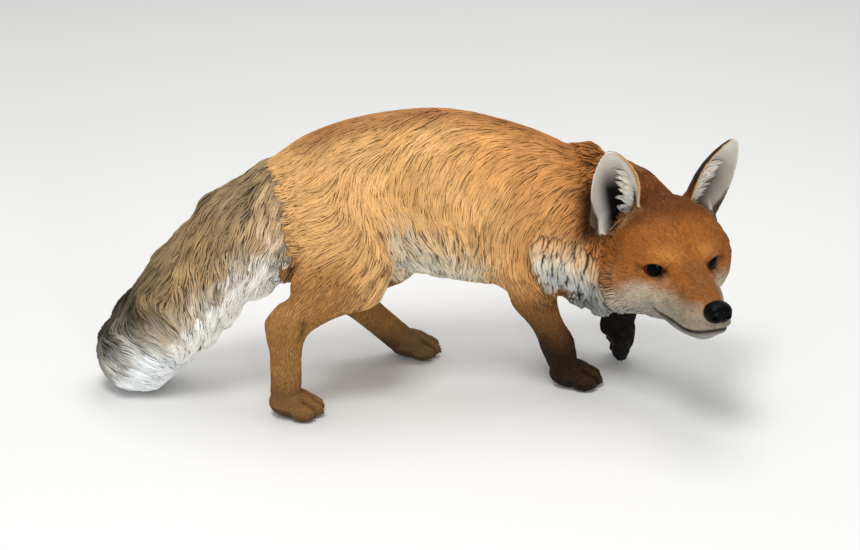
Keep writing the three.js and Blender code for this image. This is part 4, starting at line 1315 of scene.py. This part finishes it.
grow("coat_nape", "coat_tan", nape, length=17, spacing=2.6, wide=2.6, thick=1.5, lock=8,
     gather=0.75, crown=1.6, parting_shade=0.4, lift=(0.5, 3.2), shade=0.4, edge=0.75, wander=0.4, tint=0.14,
     dark=(0.12, 0.55))
grow("coat_neck", "coat_tan", side_neck, length=neck_length, spacing=2.4, wide=2.1, thick=1.1,
     lock=8, gather=0.4, crown=0.7, parting_shade=0.22, lift=(0.3, 1.5), shade=0.6, edge=0.82,
     dark=(0.06, 0.65))
grow("coat_ruff", "coat_pale", throat, length=ruff_length, spacing=4.7, wide=6.6, thick=3.8,
     lock=13, gather=0.35, crown=2.2, parting_shade=0.3, lift=(0.6, 3.4), shade=0.26, edge=0.56, rings=7,
     wander=0.2, profile=LOCK_PROFILE)

# ---- Coat of the brush --------------------------------------------------------------------------
# The longest hair of all: waving strands that slant across the tail and swirl into its white tip.

def brush_length(points):
    """Shorter low at the root, where the brush meets the thighs."""
    x, _, z = in_trunk(points)
    return 34 - 24 * smooth_step(x, -188, -165) * smooth_step(195 - z, 0, 20)


tail_t = along_tail(patch_middle)[0]
BRUSH_PARTS = (0.38, 0.72)  # of its length, where one piece of its coat ends and the next starts
brush_hair = dict(
    length=brush_length, spacing=2.9, wide=2.5, thick=1.4, lock=11, gather=0.66, crown=2.2,
    parting_shade=0.4, lift=(0.4, 2.1), shade=0.54, edge=0.76, rings=6, wander=0.16, tint=0.2,
    dark=(0.05, 0.5),
)
at_root, at_tip = on_tail & (tail_t < BRUSH_PARTS[0]), on_tail & (tail_t >= BRUSH_PARTS[1])
grow("coat_brush_root", "coat_grey", at_root, **brush_hair)
grow("coat_brush_middle", "coat_grey", on_tail & ~at_root & ~at_tip, **brush_hair)
tip_hair = {**brush_hair, "wide": 1.9, "lock": 8, "spacing": 2.5}
grow("coat_brush_tip", "coat_grey", at_tip, **tip_hair)

# ---- Coat of the head ---------------------------------------------------------------------------
# Short close hair, finest on the muzzle and round the eyes, longer and looser on the cheeks.

def head_length(points):
    """Longer from the nose back to the crown, and more so low on the cheeks."""
    a, _, c = in_head(points).T
    jowl = smooth_step(-c, 5, 40) * smooth_step(-a, 0, 40)
    return np.interp(a, (-70, -45, -20, 20, 70), (16, 12, 7, 5, 3.5)) + 6 * jowl


CHEEK = (-26, 28, 12)  # behind, outside and below these, mm in the head's frame

cheeks = on_head & ~bare_face & (head_a < CHEEK[0])
cheeks &= (np.abs(head_b) > CHEEK[1]) & (head_c < CHEEK[2])
grow("coat_cheeks", "coat_tan", cheeks, length=19, spacing=2.3, wide=1.8, thick=0.9, lock=6,
     gather=0.5, crown=0.7, parting_shade=0.25, lift=(0.4, 2.4), shade=0.6, edge=0.8, dark=(0.08, 0.6))
for name, side in SIDES:
    furred = on_head & ~bare_face & ~cheeks & (head_b * side > 0)
    grow(f"coat_head_{name}", "coat_tan", furred, length=head_length, spacing=1.8, wide=1.25,
         thick=0.55, lock=4, gather=0.25, crown=0.2, parting_shade=0.15, lift=(0.12, 0.85), shade=0.65,
         edge=0.78, rings=4, wander=0.10, tint=0.13, dark=(0.08, 0.65))

# ---- Tufts in the ears --------------------------------------------------------------------------
# White hair that stands from the inner rim of each ear over the painted shade in the hollow of
# its cup.

rim_hair = np.zeros(len(patch_middle), bool)
for side in (-1, 1):
    _, left, up = in_ear(in_head(patch_middle), side).T
    facing = patch_normal @ HEAD[:3, :3] @ np.array(ear_turn(side))[:, 0]
    out = left * side / np.interp(up / EAR["height"], EAR_RISE, EAR_HALF)
    low, high = EAR_TUFT_BAND[side]
    in_cup = (head_b * side > 0) & (facing > 0.1) & (up > -10) & (up < 56)
    rim_hair |= in_cup & (out > low) & (out < high)
grow("coat_ear_tufts", "coat_pale", rim_hair & among(patch_zone, "ear"), length=15, spacing=1.7,
     wide=2.0, thick=1.0, lock=5, gather=0.65, crown=0.5, parting_shade=0.25, lift=(0.6, 3.0), shade=0.8,
     edge=0.85, wander=0.2, code="e6e0d4")

# ---- Coat of the legs and paws ------------------------------------------------------------------
# Short hair laid down the limbs, shortest over the toes.

for name, words in (("hind_legs", ("hind_leg",)), ("fore_legs", ("fore_leg",))):
    grow(f"coat_{name}", "coat_tan", on_leg & among(patch_zone, *words), length=10, spacing=2.1,
         wide=1.3, thick=0.35, lock=5, gather=0.25, crown=0.15, parting_shade=0.10, lift=(0.12, 0.5),
         shade=0.85, edge=0.9, rings=4, wander=0.08, tint=0.09, dark=(0.03, 0.7))
toe_front = (patch_normal[:, 0] > 0.5) & (trunk_z < 20)
furred_paw = on_paw & (patch_normal[:, 2] > -0.6) & (trunk_z > 4) & ~toe_front
grow("coat_paws", "coat_dark", furred_paw, length=4, spacing=1.9, wide=1.1, thick=0.2, lock=4,
     gather=0.2, crown=0.05, parting_shade=0.1, lift=(0.08, 0.3), shade=0.8, edge=0.9, rings=3, wander=0.08,
     tint=0.10)

# ---- Claws --------------------------------------------------------------------------------------
# Short blunt claws, cast with the toes and painted near-black with a dull shine.

CLAW_AT = (12.6, 6.0)  # ahead of the toe's middle and up, mm
CLAW_SPREAD = 1.08
CLAW_PITCH = math.radians(112)
CLAW_ROOT, CLAW_END, CLAW_LONG = 2.6, 1.2, 4.6
CLAW_CURVE = 0.7
CLAW_HEIGHT = 0.0006  # over the floor

claw_paint, claw_shader = shader_of("claw_paint")
clouded(claw_paint, claw_shader, (0.004, 0.003, 0.003, 1), (0.02, 0.014, 0.010, 1), 300)
claw_shader.inputs["Roughness"].default_value = 0.35
for name in PAWS:
    claws = bmesh.new()
    for side, ahead in TOE_AHEAD:
        at = Vector((ahead + CLAW_AT[0], side * CLAW_SPREAD, CLAW_AT[1]))
        placed = Matrix.Translation(at) @ Matrix.Rotation(CLAW_PITCH, 4, "Y")
        made = bmesh.ops.create_cone(
            claws, cap_ends=True, segments=14, radius1=CLAW_ROOT, radius2=CLAW_END, depth=CLAW_LONG,
        )["verts"]
        for vert in made:
            vert.co.x += CLAW_CURVE * ((vert.co.z / 3) ** 2)
        bmesh.ops.transform(claws, matrix=placed, verts=made)
    bmesh.ops.transform(claws, matrix=Matrix.Diagonal((MM, MM, MM, 1)), verts=claws.verts)
    bmesh.ops.transform(claws, matrix=paw_frame(name), verts=claws.verts)
    for vert in claws.verts:
        vert.co.z = max(vert.co.z, CLAW_HEIGHT)
    claw_piece = object_of("claws_" + name[4:], claws, claw_paint)
    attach(claw_piece, "root")
